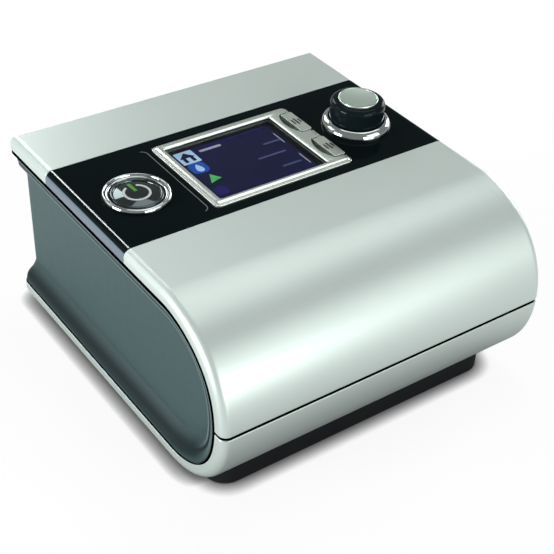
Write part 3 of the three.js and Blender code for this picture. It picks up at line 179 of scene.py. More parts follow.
class Shell:
    """A surface put together from grids and flat caps, welded into closed bodies."""

    def __init__(self) -> None:
        """Starts with no points, no painted light and no faces."""
        self.points, self.painted_lights = np.zeros((0, 3)), np.zeros(0)
        self.faces: list[list[int]] = []

    def take(self, points: Array, faces: Array, painted_light: Array | float = 0.0) -> "Shell":
        """Adds points and faces.

        Args:
            points: the points, in any grid of three coordinates.
            faces: point numbers of each face, counted within these points.
            painted_light: the painted light of each point, from -1 to 1: painted shade below 0, a painted highlight
                above 0.

        Returns:
            This shell.
        """
        self.faces += (faces + len(self.points)).tolist()
        self.points = join([self.points, points.reshape(-1, 3)])
        self.painted_lights = join([self.painted_lights, np.broadcast_to(painted_light, points.shape[:-1]).ravel()])
        return self

    def grid(self, points: Array, row_loop: bool = False, col_loop: bool = False,
             painted_light: Array | float = 0.0) -> "Shell":
        """Adds a grid: each face joins a point to its next row and its next column.

        Args:
            points: rows by columns by three.
            row_loop: the last row joins the first.
            col_loop: each row closes on itself.
            painted_light: the painted light of each point, from -1 to 1: painted shade below 0, a painted highlight
                above 0.

        Returns:
            This shell.
        """
        rows, cols = points.shape[:2]
        r, c = np.meshgrid(np.arange(rows - (not row_loop)), np.arange(cols - (not col_loop)), indexing="ij")
        r2, c2 = (r + 1) % rows, (c + 1) % cols
        faces = np.stack([r * cols + c, r2 * cols + c, r2 * cols + c2, r * cols + c2], -1)
        return self.take(points, faces.reshape(-1, 4), painted_light)

    def cap(self, ring: Array) -> "Shell":
        """Adds one flat face round a ring of points."""
        return self.take(ring, np.arange(len(ring))[None])

    def tube(self, rings: Array) -> "Shell":
        """Adds a body through closed rings, with a flat cap on the first and the last."""
        return self.grid(rings, col_loop=True).cap(rings[0]).cap(rings[-1])

    def mesh(self, name: str, sharp: float = 35) -> Thing:
        """Makes the piece, with its painted light as an attribute where it has any.

        Args:
            name: the piece's name.
            sharp: the shading angle in degrees.

        Returns:
            The new object.
        """
        data = bpy.data.meshes.new(name)
        data.from_pydata((self.points * MM).tolist(), [], self.faces)
        if self.painted_lights.any():
            data.attributes.new("painted_light", "FLOAT", "POINT").data.foreach_set("value", self.painted_lights)
        return weld(name, data, sharp)


def turned(name: str, stretches: Sequence, cx: float, cy: float, axis: Axis = Axis.UP, sides: int = 96) -> Thing:
    """A turned body: each point of the profile goes once round the axis at its radius and height.

    Args:
        name: the piece's name.
        stretches: parts of the profile, each pairs of radius and height.
        cx: the axis's first place in its cross plane.
        cy: its second place.
        axis: which way it stands.
        sides: points in each circle.

    Returns:
        The new object.
    """
    profile = join(stretches)
    a = np.linspace(0, 2 * np.pi, sides, endpoint=False)[None, :]
    r, h = profile[:, :1], profile[:, 1:]
    points = axis.place(cx + r * np.cos(a), cy + r * np.sin(a), h + 0 * a)
    on_axis = max(profile[0, 0], profile[-1, 0]) < 1e-9
    return Shell().grid(points, row_loop=not on_axis, col_loop=True).mesh(name)


def raised(name: str, outline: Array, low: float, high: float, axis: Axis = Axis.UP) -> Thing:
    """A straight body: a flat outline carried along the axis from low to high."""
    rings = [axis.place(*outline.T, np.full(len(outline), h)) for h in (low, high)]
    return Shell().tube(np.stack(rings)).mesh(name)


def plate(name: str, sides: Sequence[float], corner: float, span: Span, axis: Axis = Axis.BACK,
          steps: int = 4) -> Thing:
    """A straight body with a round-cornered outline: x0, x1, y0 and y1 of its sides, and its two ends."""
    return raised(name, round_rectangle(*sides, corner, steps), *span, axis)


def rod(x: float, y: float, radius: float, span: Span, axis: Axis = Axis.BACK, sides: int = 96) -> Thing:
    """A round rod between two ends."""
    return raised("rod", arc(x, y, radius, 0, 360, sides)[:-1], *span, axis)


def brick(x: Span, y: Span, z: Span) -> Thing:
    """A plain block between two places on each axis, for cutting other pieces."""
    return raised("brick", np.array([[x[0], y[0]], [x[1], y[0]], [x[1], y[1]], [x[0], y[1]]]), *z)


def strip_along(name: str, line: Array, up: Array, width: float, rise: float) -> Thing:
    """A flat strip along a line: half the width to either side, from just under the line to a rise over it.

    Args:
        name: the piece's name.
        line: points of the line in X, Y and Z.
        up: the surface's upward direction.
        width: how wide the strip is.
        rise: how far its top stands over the line.

    Returns:
        The strip.
    """
    across = np.cross(up, np.gradient(line, axis=0))
    across = across / np.linalg.norm(across, axis=1, keepdims=True) * width / 2
    low, high = line - up * 0.05, line + up * rise
    return Shell().tube(np.stack([low - across, low + across, high + across, high - across], 1)).mesh(name, 50)


def carve(thing: Thing, others: Sequence[Thing], unite: bool = False, sharp: float = 35) -> Thing:
    """Cuts other bodies out of a piece, or joins them to it, and removes them.

    Args:
        thing: the piece that stays.
        others: the bodies to cut or join.
        unite: join them instead of cutting.
        sharp: the shading angle in degrees.

    Returns:
        The piece.
    """
    for other in others:
        change = thing.modifiers.new("carve", "BOOLEAN")
        change.operation = "UNION" if unite else "DIFFERENCE"
        change.solver = "EXACT"
        change.object = other
    bpy.context.view_layer.update()
    data = bpy.data.meshes.new_from_object(thing.evaluated_get(bpy.context.evaluated_depsgraph_get()))
    thing.modifiers.clear()
    thing.data = data
    smooth(data, sharp)
    for other in others:
        bpy.data.objects.remove(other)
    return thing


def bevel(thing: Thing, width: float, steps: int = 2, angle: float = 40) -> Thing:
    """Rounds a piece's sharp edges, as a mould's edge radius does.

    Args:
        thing: the piece.
        width: the radius in millimetres.
        steps: faces across each edge.
        angle: edges that bend by more than this many degrees are rounded.

    Returns:
        The piece.
    """
    change = thing.modifiers.new("edge_radius", "BEVEL")
    change.width, change.segments = width * MM, steps
    change.limit_method, change.angle_limit = "ANGLE", math.radians(angle)
    change.harden_normals = True
    return thing


def from_cad(node: str) -> Thing:
    """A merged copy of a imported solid, so that its edges can be rounded."""
    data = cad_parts[node].data.copy()
    data.materials.clear()
    return weld(f"{node}_dressed", data, 30, packed=True)


# ---------------------------------------------------------------- finishes


def linear(code: str) -> tuple[float, ...]:
    """Turns an sRGB hex colour to linear red, green, blue and a full alpha."""
    values = [int(code[i:i + 2], 16) / 255 for i in (0, 2, 4)]
    return (*(v / 12.92 if v <= 0.04045 else ((v + 0.055) / 1.055) ** 2.4 for v in values), 1.0)


def feed(node: Node, inputs: dict[str | int, object]) -> None:
    """Sets or links a node's inputs.

    Args:
        node: the node.
        inputs: input name or number to its value, its sRGB hex colour or the socket that feeds it.
    """
    for key, value in inputs.items():
        if isinstance(value, Socket):
            node.id_data.links.new(value, node.inputs[key])
        else:
            node.inputs[key].default_value = linear(value) if isinstance(value, str) else value


def add(tree: Tree, kind: str, inputs: dict[str | int, object], **settings: str) -> Node:
    """Adds one node.

    Args:
        tree: the material's or the world's nodes.
        kind: the node's type, without the word that all share.
        inputs: what its sockets get.
        settings: the node's own attributes.

    Returns:
        The new node.
    """
    made = tree.nodes.new(f"ShaderNode{kind}")
    for key, value in settings.items():
        setattr(made, key, value)
    feed(made, inputs)
    return made


@dataclass(frozen=True)
class Finish:
    """A surface: a slot name, which is not used, two colours that it drifts between, its gloss and its fine grain."""

    name: str
    slot: str
    colour: str
    drift: str
    roughness: float
    metallic: float = 0.0
    ior: float = 1.5
    specular: float = 0.5
    coat: float = 0.0
    sheen: float = 0.0
    alpha: float = 1.0
    glow: float = 0.0
    drift_mm: float = 40.0
    grain_mm: float = 0.5
    depth_mm: float = 0.004
    spread: float = 0.06

    def blotches(self, tree: Tree, at: Socket, size_mm: float, detail: float, low: float, high: float) -> Socket:
        """Noise whose middle values, from 0.3 to 0.7, become low to high.

        Args:
            tree: the material's nodes.
            at: the piece's own coordinates.
            size_mm: about how wide a blotch is.
            detail: how many finer layers the noise has.
            low: the value in the dark blotches.
            high: the value in the bright ones.

        Returns:
            The values.
        """
        noise = add(tree, "TexNoise", {"Vector": at, "Scale": 1 / (size_mm * MM), "Detail": detail}).outputs["Fac"]
        limits = {"From Min": 0.3, "From Max": 0.7, "To Min": low, "To Max": high}
        return add(tree, "MapRange", {"Value": noise, **limits}).outputs["Result"]

    def drawn(self, tree: Tree, at: Socket, scale: tuple[float, float, float], detail: float) -> Socket:
        """Grain that is drawn out along the axes whose scale is small."""
        way = add(tree, "Mapping", {"Vector": at, "Scale": scale}).outputs["Vector"]
        size = 1 / (self.grain_mm * MM)
        return add(tree, "TexNoise", {"Vector": way, "Scale": size, "Detail": detail}).outputs["Fac"]

    def pattern(self, tree: Tree, at: Socket) -> Socket:
        """The height pattern of the grain: fine noise."""
        return add(tree, "TexNoise", {"Vector": at, "Scale": 1 / (self.grain_mm * MM), "Detail": 4.0}).outputs["Fac"]

    def tint(self, tree: Tree, at: Socket) -> Socket:
        """The colour pattern: a slow drift between the two colours."""
        share = self.blotches(tree, at, self.drift_mm, 2.0, 0.0, 1.0)
        return add(tree, "Mix", {"Factor": share, 6: self.colour, 7: self.drift}, data_type="RGBA").outputs[2]

    def make(self) -> bpy.types.Material:
        """Builds the material: what is the same everywhere is set on the shader, the rest are patterns.

        Returns:
            The finished material.
        """
        made = bpy.data.materials.new(self.name)
        made.use_nodes = True
        tree = made.node_tree
        base = tree.nodes["Principled BSDF"]
        feed(base, {"Base Color": self.colour, "Metallic": self.metallic, "Roughness": self.roughness,
                    "Coat Weight": self.coat, "Coat Roughness": 0.05, "Sheen Weight": self.sheen, "Alpha": self.alpha})
        if self.metallic < METAL:
            feed(base, {"IOR": self.ior, "Specular IOR Level": self.specular})
        at = add(tree, "TexCoord", {}).outputs["Object"]
        colour = self.tint(tree, at)
        rough = self.blotches(tree, at, self.grain_mm * 6, 3.0, max(0.0, self.roughness - self.spread),
                              self.roughness + self.spread)
        feed(base, {"Base Color": colour, "Roughness": rough})
        if self.glow:
            feed(base, {"Emission Color": self.colour, "Emission Strength": self.glow})
            feed(base, {"Emission Color": colour})
        if self.depth_mm:
            grain = {"Height": self.pattern(tree, at), "Strength": 1.0, "Distance": self.depth_mm * MM}
            lift = add(tree, "Bump", grain)
            feed(base, {"Normal": lift.outputs["Normal"]})
        return made


@dataclass(frozen=True)
class CellGrain(Finish):
    """A grain of small rounded cells, as on sprayed paint, spark-eroded moulds and foam."""

    def pattern(self, tree: Tree, at: Socket) -> Socket:
        """The distance to the nearest of scattered points."""
        return add(tree, "TexVoronoi", {"Vector": at, "Scale": 1 / (self.grain_mm * MM)}).outputs["Distance"]


@dataclass(frozen=True)
class PaintedShadeGrain(CellGrain):
    """A moulded grain with painted shade: darker in its creases, where less of the room reaches it, and darker in
    hollows and paler on crests as its painted light says.
    """

    # Painted shade in the creases: its reach, its power and its colour; then the colour of the painted shade in
    # hollows and of the painted highlight on crests
    crease_shade_mm: float = 5.0
    crease_shade_power: float = 1.2
    crease_shade: str = "05080a"
    hollow: str = "0a1a1c"
    crest_highlight: str = "556566"

    def tint(self, tree: Tree, at: Socket) -> Socket:
        """The drift between the two colours, with a painted highlight where the painted light is above 0, and painted
        shade where it is below 0 and in the creases.

        Args:
            tree: the material's nodes.
            at: the piece's own coordinates.

        Returns:
            The colour.
        """
        ground = super().tint(tree, at)
        painted_light = add(tree, "Attribute", {}, attribute_name="painted_light").outputs["Fac"]
        for end, colour in ((-1.0, self.hollow), (1.0, self.crest_highlight)):
            share = add(tree, "MapRange", {"Value": painted_light, "From Max": end}).outputs["Result"]
            ground = add(tree, "Mix", {"Factor": share, 6: ground, 7: colour}, data_type="RGBA").outputs[2]
        # Painted shade: darker where ambient occlusion finds the room closed in
        near = add(tree, "AmbientOcclusion", {"Distance": self.crease_shade_mm * MM}).outputs["AO"]
        share = add(tree, "Math", {0: near, 1: self.crease_shade_power}, operation="POWER").outputs[0]
        return add(tree, "Mix", {"Factor": share, 6: self.crease_shade, 7: ground}, data_type="RGBA").outputs[2]


@dataclass(frozen=True)
class Brushed(Finish):
    """Metal that was brushed in one direction."""

    def pattern(self, tree: Tree, at: Socket) -> Socket:
        """Noise drawn out twenty times along X."""
        return self.drawn(tree, at, (0.05, 1.0, 1.0), 2.0)


@dataclass(frozen=True)
class SideBand(Finish):
    """Gloss plastic whose upright sides are satin: the finish changes past a distance from the middle. The sides'
    blue-grey stands both for their own satin finish and for a painted reflection of the pale room.
    """

    side_colour_and_reflection: str = "62707c"
    side_at_mm: float = 69.55
    side_fade_mm: float = 0.12
    side_roughness: float = 0.35
    side_metallic: float = 0.3

    def make(self) -> bpy.types.Material:
        """Builds the gloss material and mixes the satin one in where the side stands upright.

        Returns:
            The finished material.
        """
        made = super().make()
        tree = made.node_tree
        at = add(tree, "TexCoord", {}).outputs["Object"]
        x = add(tree, "SeparateXYZ", {"Vector": at}).outputs["X"]
        far = add(tree, "Math", {0: x}, operation="ABSOLUTE").outputs[0]
        share = add(tree, "MapRange", {"Value": far, "From Min": (self.side_at_mm - self.side_fade_mm) * MM,
                                       "From Max": (self.side_at_mm + self.side_fade_mm) * MM}).outputs["Result"]
        # The sides' satin blue-grey: partly their own finish, partly a painted reflection of the pale room
        satin = add(tree, "BsdfPrincipled", {"Base Color": self.side_colour_and_reflection, "Roughness": self.side_roughness,
                                             "Metallic": self.side_metallic})
        mix = add(tree, "MixShader", {0: share, 1: tree.nodes["Principled BSDF"].outputs[0], 2: satin.outputs[0]})
        feed(tree.nodes["Material Output"], {"Surface": mix.outputs[0]})
        return made


@dataclass(frozen=True)
class Needled(Finish):
    """Felt that shows its fibres: two crossed stretched noises."""

    def pattern(self, tree: Tree, at: Socket) -> Socket:
        """Fibres along X over fibres along Z."""
        heights = {i: self.drawn(tree, at, scale, 3.0) for i, scale in enumerate(((0.15, 1.0, 1.0), (1.0, 1.0, 0.15)))}
        return add(tree, "Math", heights, operation="MAXIMUM").outputs[0]


@dataclass(frozen=True)
class PrintedCircuit(Finish):
    """Solder mask over copper: a square pattern of tracks shows faintly through the green."""

    track: str = "2f7a4e"
    pitch_mm: float = 2.54

    def tint(self, tree: Tree, at: Socket) -> Socket:
        """Tracks as the edges of square cells, over the mask's own drift.

        Args:
            tree: the material's nodes.
            at: the piece's own coordinates.

        Returns:
            The colour.
        """
        cells = add(tree, "TexVoronoi", {"Vector": at, "Scale": 1 / (self.pitch_mm * MM), "Randomness": 0.35},
                    feature="DISTANCE_TO_EDGE").outputs["Distance"]
        share = add(tree, "MapRange", {"Value": cells, "From Min": 0.02, "From Max": 0.07, "To Min": 1.0,
                                       "To Max": 0.0}).outputs["Result"]
        ground = super().tint(tree, at)
        return add(tree, "Mix", {"Factor": share, 6: ground, 7: self.track}, data_type="RGBA").outputs[2]


# Satin silver lacquer over ABS: metal flake gives soft bands of light, and a faint orange peel
SILVER = CellGrain("satin_silver_lacquer_on_ABS", "silver_shell", "b6c2bd", "b9c5c0", 0.4, metallic=0.45,
                   grain_mm=0.35, depth_mm=0.0002, drift_mm=60, spread=0.01)
# Piano-black acrylic and polished ABS: deep, mirror-like, with next to no grain; the band's upright sides are a satin
# blue-grey that is partly a painted reflection
GLOSS_BLACK = SideBand("gloss_black_acrylic", "gloss_black", "081213", "0a1415", 0.05, ior=1.46, specular=0.02,
                       grain_mm=3.0, depth_mm=0.0006, spread=0.02)
KNOB_BLACK = Finish("polished_black_ABS", "gloss_black", "0c1518", "0e171a", 0.06, ior=1.42, specular=0.08,
                    grain_mm=3.0, depth_mm=0.0004, spread=0.02)
# Spark-eroded slate ABS: a fine matt grain that softens every reflection, with painted shade in its creases and
# hollows and a painted highlight on the side panels' lip
SLATE = PaintedShadeGrain("spark_eroded_slate_ABS", "slate_panel", "3c4d4e", "3a4b4c", 0.5, ior=1.52, specular=0.15,
                depth_mm=0.002, drift_mm=80, spread=0.02)
# Dark moulded ABS: the same fine grain, a little duller where nothing is meant to be seen
DARK = CellGrain("moulded_dark_ABS", "dark_plastic", "1b2021", "1f2425", 0.5, ior=1.52, specular=0.35,
                 depth_mm=0.006)
# Matt black: painted shade in the seam and in the gaps round the side panels; also the dark frame round the window
SHADOW = Finish("matt_black_and_painted_gap_shade", "dark_plastic", "020303", "030404", 0.8, ior=1.4, specular=0.0)
# Black thermoplastic rubber and grey silicone: matt, slightly grained, with a soft sheen on their edges
RUBBER = CellGrain("black_thermoplastic_rubber", "base_rubber", "0c0e11", "101215", 0.6, specular=0.15, sheen=0.04,
                   grain_mm=0.6, depth_mm=0.01)
SOFT_RUBBER = CellGrain("grey_silicone_rubber", "soft_rubber", "2b2f33", "303438", 0.55, ior=1.43, sheen=0.2,
                        grain_mm=0.6, depth_mm=0.008)
# Bright chrome plate: mirror-like, nearly no grain
CHROME = Finish("bright_chrome_plate", "chrome_trim", "a9b2b0", "b4bcba", 0.06, metallic=1.0, grain_mm=2.0,
                depth_mm=0.0003, spread=0.02)
# Black chrome: nearly as dark as the band, but with a metal's clear reflections
DARK_MIRROR = Finish("black_chrome_plate", "gloss_black", "424a4b", "474f50", 0.07, metallic=1.0, grain_mm=2.0,
                     depth_mm=0.0001, spread=0.01)
# Satin chrome plate: the same metal, blasted before plating, so that it spreads light
SATIN = CellGrain("satin_chrome_plate", "satin_chrome", "c6d0c8", "cad4cc", 0.22, metallic=0.8, grain_mm=0.4,
                  depth_mm=0.0001, spread=0.01)
# Spun aluminium: an even soft gloss on the dial's cap, its lines too fine to show
CAP_METAL = Finish("spun_anodised_aluminium", "satin_chrome", "c0d2c6", "c6d8cc", 0.3, metallic=0.95, depth_mm=0.0,
                   spread=0.0)
# Bare metals inside: drawn or turned, so that their gloss lies along one direction
STEEL = Brushed("zinc_plated_steel", "steel", "9ba1a4", "a5aaad", 0.3, metallic=1.0, grain_mm=0.3, depth_mm=0.001)
BRASS = Brushed("turned_brass", "brass", "b08d4f", "b8965a", 0.28, metallic=1.0, grain_mm=0.3, depth_mm=0.001)
IRON = Brushed("laminated_silicon_steel", "steel", "6b6f73", "74787b", 0.42, metallic=0.9, grain_mm=0.35)
TIN = Brushed("tinned_display_frame", "display_metal", "a3a7a9", "abafb1", 0.33, metallic=1.0, grain_mm=0.3,
              depth_mm=0.001)
# Green solder mask: a thin clear coat over faint tracks
BOARD = PrintedCircuit("epoxy_board_with_solder_mask", "board", "1d5a38", "1a5334", 0.35, coat=0.3, grain_mm=1.0,
                       depth_mm=0.01)
WHITE = CellGrain("white_moulded_ABS", "white_plastic", "d9dcda", "d3d6d4", 0.45)
# Open-cell polyurethane foam: a matt surface full of small pores
FOAM = CellGrain("open_cell_polyurethane_foam", "foam", "3b3f42", "46494c", 0.95, specular=0.1, sheen=0.3,
                 grain_mm=1.3, depth_mm=0.5, drift_mm=6)
# Needled polyester felt: pale fibres that catch the light at their ends
FELT = Needled("needled_polyester_felt", "filter_felt", "d8d9d2", "c9cac2", 0.95, specular=0.1, sheen=0.4,
               grain_mm=0.8, depth_mm=0.15, drift_mm=5)
# Hard-coated acrylic: nearly clear, it only adds a thin gloss
WINDOW = Finish("hard_coated_acrylic_window", "screen_glass", "0a0b12", "0a0b12", 0.04, ior=1.49, specular=0.1,
                alpha=0.14, depth_mm=0.0)
# Liquid crystal picture: flat colours that glow a little through the window, with hardly any gloss
LIT_NAVY, LIT_DARK, LIT_PALE, LIT_BLUE, LIT_GREEN, LIT_VIOLET, LIT_DIM, LIT_GREY = (
    Finish(name, "screen_glass", colour, drift, 0.4, specular=0.1, glow=glow, drift_mm=drift_mm, depth_mm=0.0)
    for name, colour, drift, glow, drift_mm in (
        ("lit_navy_display", "0e1233", "11143b", 0.5, 30),
        ("unlit_display_border", "0b0d14", "0c0e16", 0.25, 40),
        ("lit_pale_blue_display", "a9c8e6", "9cc0e2", 0.6, 3),
        ("lit_blue_display", "1d479c", "2350a8", 0.6, 2),
        ("lit_green_display", "3a9f55", "56bb66", 0.6, 2),
        ("lit_violet_display", "211d62", "1c1956", 0.6, 8),
        ("lit_dim_display", "434a6e", "474e74", 0.6, 3),
        ("lit_grey_display", "9aa1b4", "9299b0", 0.6, 3),
    )
)
# Light pipe of tinted polycarbonate: green through and through, lit from inside
GREEN_LAMP = Finish("green_polycarbonate_light_pipe", "screen_glass", "3f7a22", "48882a", 0.25, specular=0.2,
                    glow=0.2, drift_mm=2, depth_mm=0.0)
# Printing inks: thin, even and matt, the silver one with a little flake; the silver one also paints a highlight line
# on the band's left edge
SILVER_INK_AND_HIGHLIGHT = Finish("silver_ink_and_painted_highlight", "silver_shell", "b9bfbd", "b3b9b7", 0.4, metallic=0.4,
                    grain_mm=0.4, depth_mm=0.0, spread=0.01)
GREY_INK = Finish("screen_printed_grey_ink", "silver_shell", "5d6468", "646b6f", 0.5, grain_mm=0.4, depth_mm=0.001)
DARK_INK = Finish("pad_printed_dark_ink", "dark_plastic", "060808", "080a0a", 0.5, grain_mm=0.4, depth_mm=0.001)


@cache
def material(finish: Finish) -> bpy.types.Material:
    """The material of a finish, made once."""
    return finish.make()


def dress(thing: Thing, finish: Finish, body: str = "housing", node: str = "") -> None:
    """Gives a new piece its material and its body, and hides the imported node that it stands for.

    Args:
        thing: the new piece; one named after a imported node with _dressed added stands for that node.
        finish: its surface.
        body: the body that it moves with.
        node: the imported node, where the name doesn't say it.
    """
    thing.data.materials.clear()
    thing.data.materials.append(material(finish))
    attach(thing, body)
    node = node or thing.name.removesuffix("_dressed")
    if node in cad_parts:
        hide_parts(node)
    log.info("%s: %s, on %s", thing.name, finish.name, body)


def dress_solids(finish: Finish, *nodes: str) -> None:
    """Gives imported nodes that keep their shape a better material.

    Args:
        finish: their surface.
        nodes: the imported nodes' names.
    """
    for node in nodes:
        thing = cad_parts[node]
        if not thing.material_slots:
            thing.data.materials.append(material(finish))
        for place in thing.material_slots:
            place.material = material(finish)
        log.info("%s keeps its solid: %s", node, finish.name)


# ---------------------------------------------------------------- casing


@dataclass(frozen=True)
class Outline:
    """The casing from the side: a flat top, a bend to the nose, a chin that curls under, a flat underside."""

    front: float = 76.5
    rear: float = 69.7
    top: float = 75.0
    underside: float = 4.5
    nose: float = 37.2
    bend_start: float = 39.5
    chin_end: float = 45.0
    # How far the curves' inner control points reach: along the top, over the nose, under it, along the underside
    reaches: tuple[float, float, float, float] = (0.3, 0.772, 0.627, 0.51)

    def bend(self, t: Array) -> Path:
        """The two cubic curves of the front.

        Each curve is the sum of its four control points times (1-s)^3, 3s(1-s)^2, 3s^2(1-s) and s^3. The
        normal is the derivative turned by a quarter and scaled to one.

        Args:
            t: 0 at the top's end, 1 at the nose, 2 at the chin's end.

        Returns:
            Depth and height pairs, and the inward normals.
        """
        along, over, below, under = self.reaches
        y, z = -self.front, self.nose
        first = [[-self.bend_start, self.top], [-self.bend_start - along * (self.front - self.bend_start), self.top],
                 [y, z + over * (self.top - z)], [y, z]]
        second = [[y, z], [y, z - below * (z - self.underside)],
                  [-self.chin_end - under * (self.front - self.chin_end), self.underside],
                  [-self.chin_end, self.underside]]
        past = t > 1
        s = (t - past)[:, None]
        control = np.where(past[:, None, None], second, first)
        weight = np.stack([(1 - s) ** 3, 3 * s * (1 - s) ** 2, 3 * s**2 * (1 - s), s**3], 1)
        slope = np.stack([-3 * (1 - s) ** 2, 3 * (1 - s) ** 2 - 6 * s * (1 - s), 6 * s * (1 - s) - 3 * s**2,
                          3 * s**2], 1)
        point, run = (weight * control).sum(1), (slope * control).sum(1)
        run = run / np.linalg.norm(run, axis=1, keepdims=True)
        return point, np.stack([-run[:, 1], run[:, 0]], -1)

    def at_height(self, height: float) -> float:
        """The t of the front curves where they pass a height."""
        t = np.linspace(0, 2, 4001)
        return float(np.interp(-height, -self.bend(t)[0][:, 1], t))

    def path(self, start: Sequence[float], t0: float, t1: float, stop: Sequence[float], steps: int) -> Path:
        """The outline with straight stretches before and after the bend.

        Args:
            start: depths of the points on the flat top, before the bend.
            t0: where the bend starts.
            t1: where it stops.
            stop: depths of the points on the flat underside, after the bend.
            steps: stretches in the bend.

        Returns:
            Depth and height pairs, and inward normals.
        """
        point, normal = self.bend(np.linspace(t0, t1, steps + 1))
        before = np.stack([start, np.full(len(start), self.top)], -1)
        after = np.stack([stop, np.full(len(stop), self.underside)], -1)
        down, up = np.tile([0.0, -1.0], (len(start), 1)), np.tile([0.0, 1.0], (len(stop), 1))
        return join([before, point, after]), join([down, normal, up])


@dataclass
class Casing:
    """The covers' wrap round the machine, in four pieces, with what closes the seam and paints its shade, and a
    painted highlight line and a printed line on the band.
    """

    outline: Outline = Outline()
    half: float = 70.0
    edge: float = 3.0
    edge_steps: int = 10
    top_corner: float = 1.5
    low_corner: float = 6.5
    wall: float = 2.5
    strip: float = 5.2
    fascia_front: float = -14.8
    fascia_rear: float = 40.4
    hairline: float = 0.15
    seam_top: float = 39.0
    seam_bottom: float = 37.75
    seam_shade_depth: float = 0.3
    highlight_inset: float = 0.55
    highlight_width: float = 0.45
    divider_x: float = -32.2
    divider_turn: float = 2.6
    divider_ends: Span = (32.6, -6.9)
    # X, Y and radius of the rings' holes, and the sides of the bezel's
    ring_holes: tuple = ((-49.4, 11.1, 11.2), (48.1, 11.1, 12.4))
    bezel_hole: tuple[float, ...] = (-30.3, 30.8, -10.55, 35.15)
    tongue_half: float = 61.7
    tongue_insets: Span = (2.8, 4.2)
    tongue_heights: Span = (41.85, 34.95)

    def section(self) -> Array:
        """The wrap's section, once round: X and the inset from the outline, with a quarter circle at each edge."""
        r, h, w, s = self.edge, self.half, self.wall, self.strip
        left = join([[[-h, s]], arc(-h + r, r, r, 180, 270, self.edge_steps), [[-h + r + 0.4, 0]]])
        return join([left, left[::-1] * [-1, 1], [[h - w, s], [h - w, w], [-h + w, w], [-h + w, s]]])

    def front_cover(self) -> Thing:
        """The silver cover over the bend, from the black band to the seam."""
        y = self.fascia_front - self.hairline
        path = self.outline.path([y, y - 0.6, -39.0], 0.0, self.outline.at_height(self.seam_top), [], 72)
        return bevel(Shell().tube(carried(path, self.section())).mesh("front_cover_dressed"), 0.3)

    def band(self) -> Thing:
        """The gloss black band, with holes for the start ring, the bezel and the dial ring."""
        flat = np.array([[y, self.outline.top] for y in (self.fascia_rear, self.fascia_front)])
        path = (flat, np.array([[0.0, -1.0]] * 2))
        holes = [rod(*hole, (70, 80), Axis.UP) for hole in self.ring_holes]
        holes.append(plate("hole", self.bezel_hole, 2.5, (70, 80), Axis.UP, 8))
        return bevel(carve(Shell().tube(carried(path, self.section())).mesh("control_fascia_dressed"), holes), 0.25)

    def tray(self, y0: float, top: float, direction: float, r: float) -> tuple[Shell, Array]:
        """A lid with a skirt: rings that follow a U in plan, each at its own inset and height, and two flat faces.

        Args:
            y0: where the U starts at the front.
            top: the height of the flat outer face.
            direction: -1 where the skirt hangs down, 1 where it stands up.
            r: the radius of the upright rear corners.

        Returns:
            The shell, open at the front, and its rings.
        """
        w = self.wall

        def plan(inset: float) -> Array:
            """The U at a distance in from the casing's plan outline."""
            a, x = max(r - inset, 0.25), self.half - inset
            y = self.outline.rear - inset - a
            return join([[[-x, y0]], arc(a - x, y, a, 180, 90, 10), arc(x - a, y, a, 90, 0, 10), [[x, y0]]])

        rim = arc(self.edge, self.edge, self.edge, 180, 270, self.edge_steps)
        levels = [(self.edge + 0.4, 0.0), *rim[::-1], (0.0, self.strip), (w, self.strip), (w, w)]
        rings = np.stack([lifted(plan(i), top + direction * d) for i, d in levels])
        return Shell().grid(rings).cap(rings[0]).cap(rings[-1]), rings

    def rear_top_cover(self) -> Thing:
        """The silver lid behind the black band, with round rear corners and a short skirt."""
        shell, rings = self.tray(self.fascia_rear + self.hairline, self.outline.top, -1.0, self.top_corner)
        shell.cap(join([rings[:, 0], rings[::-1, -1]]))
        return bevel(shell.mesh("rear_top_cover_dressed"), 0.25)

    def lower_shell(self) -> Thing:
        """The silver chin and underside: the wrap's section down to the flat, then a tray to the rear."""
        path = self.outline.path([], self.outline.at_height(self.seam_bottom), 2.0, [], 60)
        rings = carried(path, self.section())
        shell = self.tray(-self.outline.chin_end, self.outline.underside, 1.0, self.low_corner)[0]
        return bevel(shell.grid(rings, col_loop=True).cap(rings[0]).mesh("lower_shell_dressed"), 0.3)

    def tongue(self) -> Thing:
        """The strip behind the seam, in matt black, so that the seam shows dark and not the inside: painted shade in
        the seam.
        """
        t = np.linspace(*(self.outline.at_height(z) for z in self.tongue_heights), 9)
        h, (near, deep) = self.tongue_half, self.tongue_insets
        section = np.array([[-h, near], [h, near], [h, deep], [-h, deep]])
        return Shell().tube(carried(self.outline.bend(t), section)).mesh("seam_tongue_dressed")

    def gap_line(self) -> Thing:
        """A dark strip that paints the seam's shade: the wrap's own section, a hair inside it, between the two covers.
        """
        t = np.linspace(self.outline.at_height(self.seam_top), self.outline.at_height(self.seam_bottom), 4)
        rings = carried(self.outline.bend(t), self.section())
        rings = rings * [1 - self.seam_shade_depth / self.half, 1, 1] + [0, self.seam_shade_depth, 0]
        return Shell().tube(rings).mesh("seam_painted_shade")

    def edge_highlight(self) -> Thing:
        """A painted highlight: a fine bright line on the black band, near its left edge, where its rounding catches
        the light.
        """
        inset, r = self.highlight_inset, self.edge
        x, drop = self.half - r + inset, r - math.sqrt(r**2 - inset**2)
        depths = (self.fascia_rear - 0.2, 0.0, self.fascia_front + 0.2)
        line = np.array([[-x, y, self.outline.top - drop] for y in depths])
        return strip_along("fascia_painted_highlight", line, np.array([-inset, 0.0, r - drop]) / r, self.highlight_width, 0.03)

    def divider(self) -> Thing:
        """The thin printed line left of the bezel, with both ends turned to the left in an arc."""
        x, r = self.divider_x - self.divider_turn, self.divider_turn
        far, near = self.divider_ends
        line = lifted(join([arc(x, far, r, 75, 0, 10), arc(x, near, r, 0, -75, 10)]), self.outline.top)
        return strip_along("fascia_divider", line, UP, 0.28, 0.015)

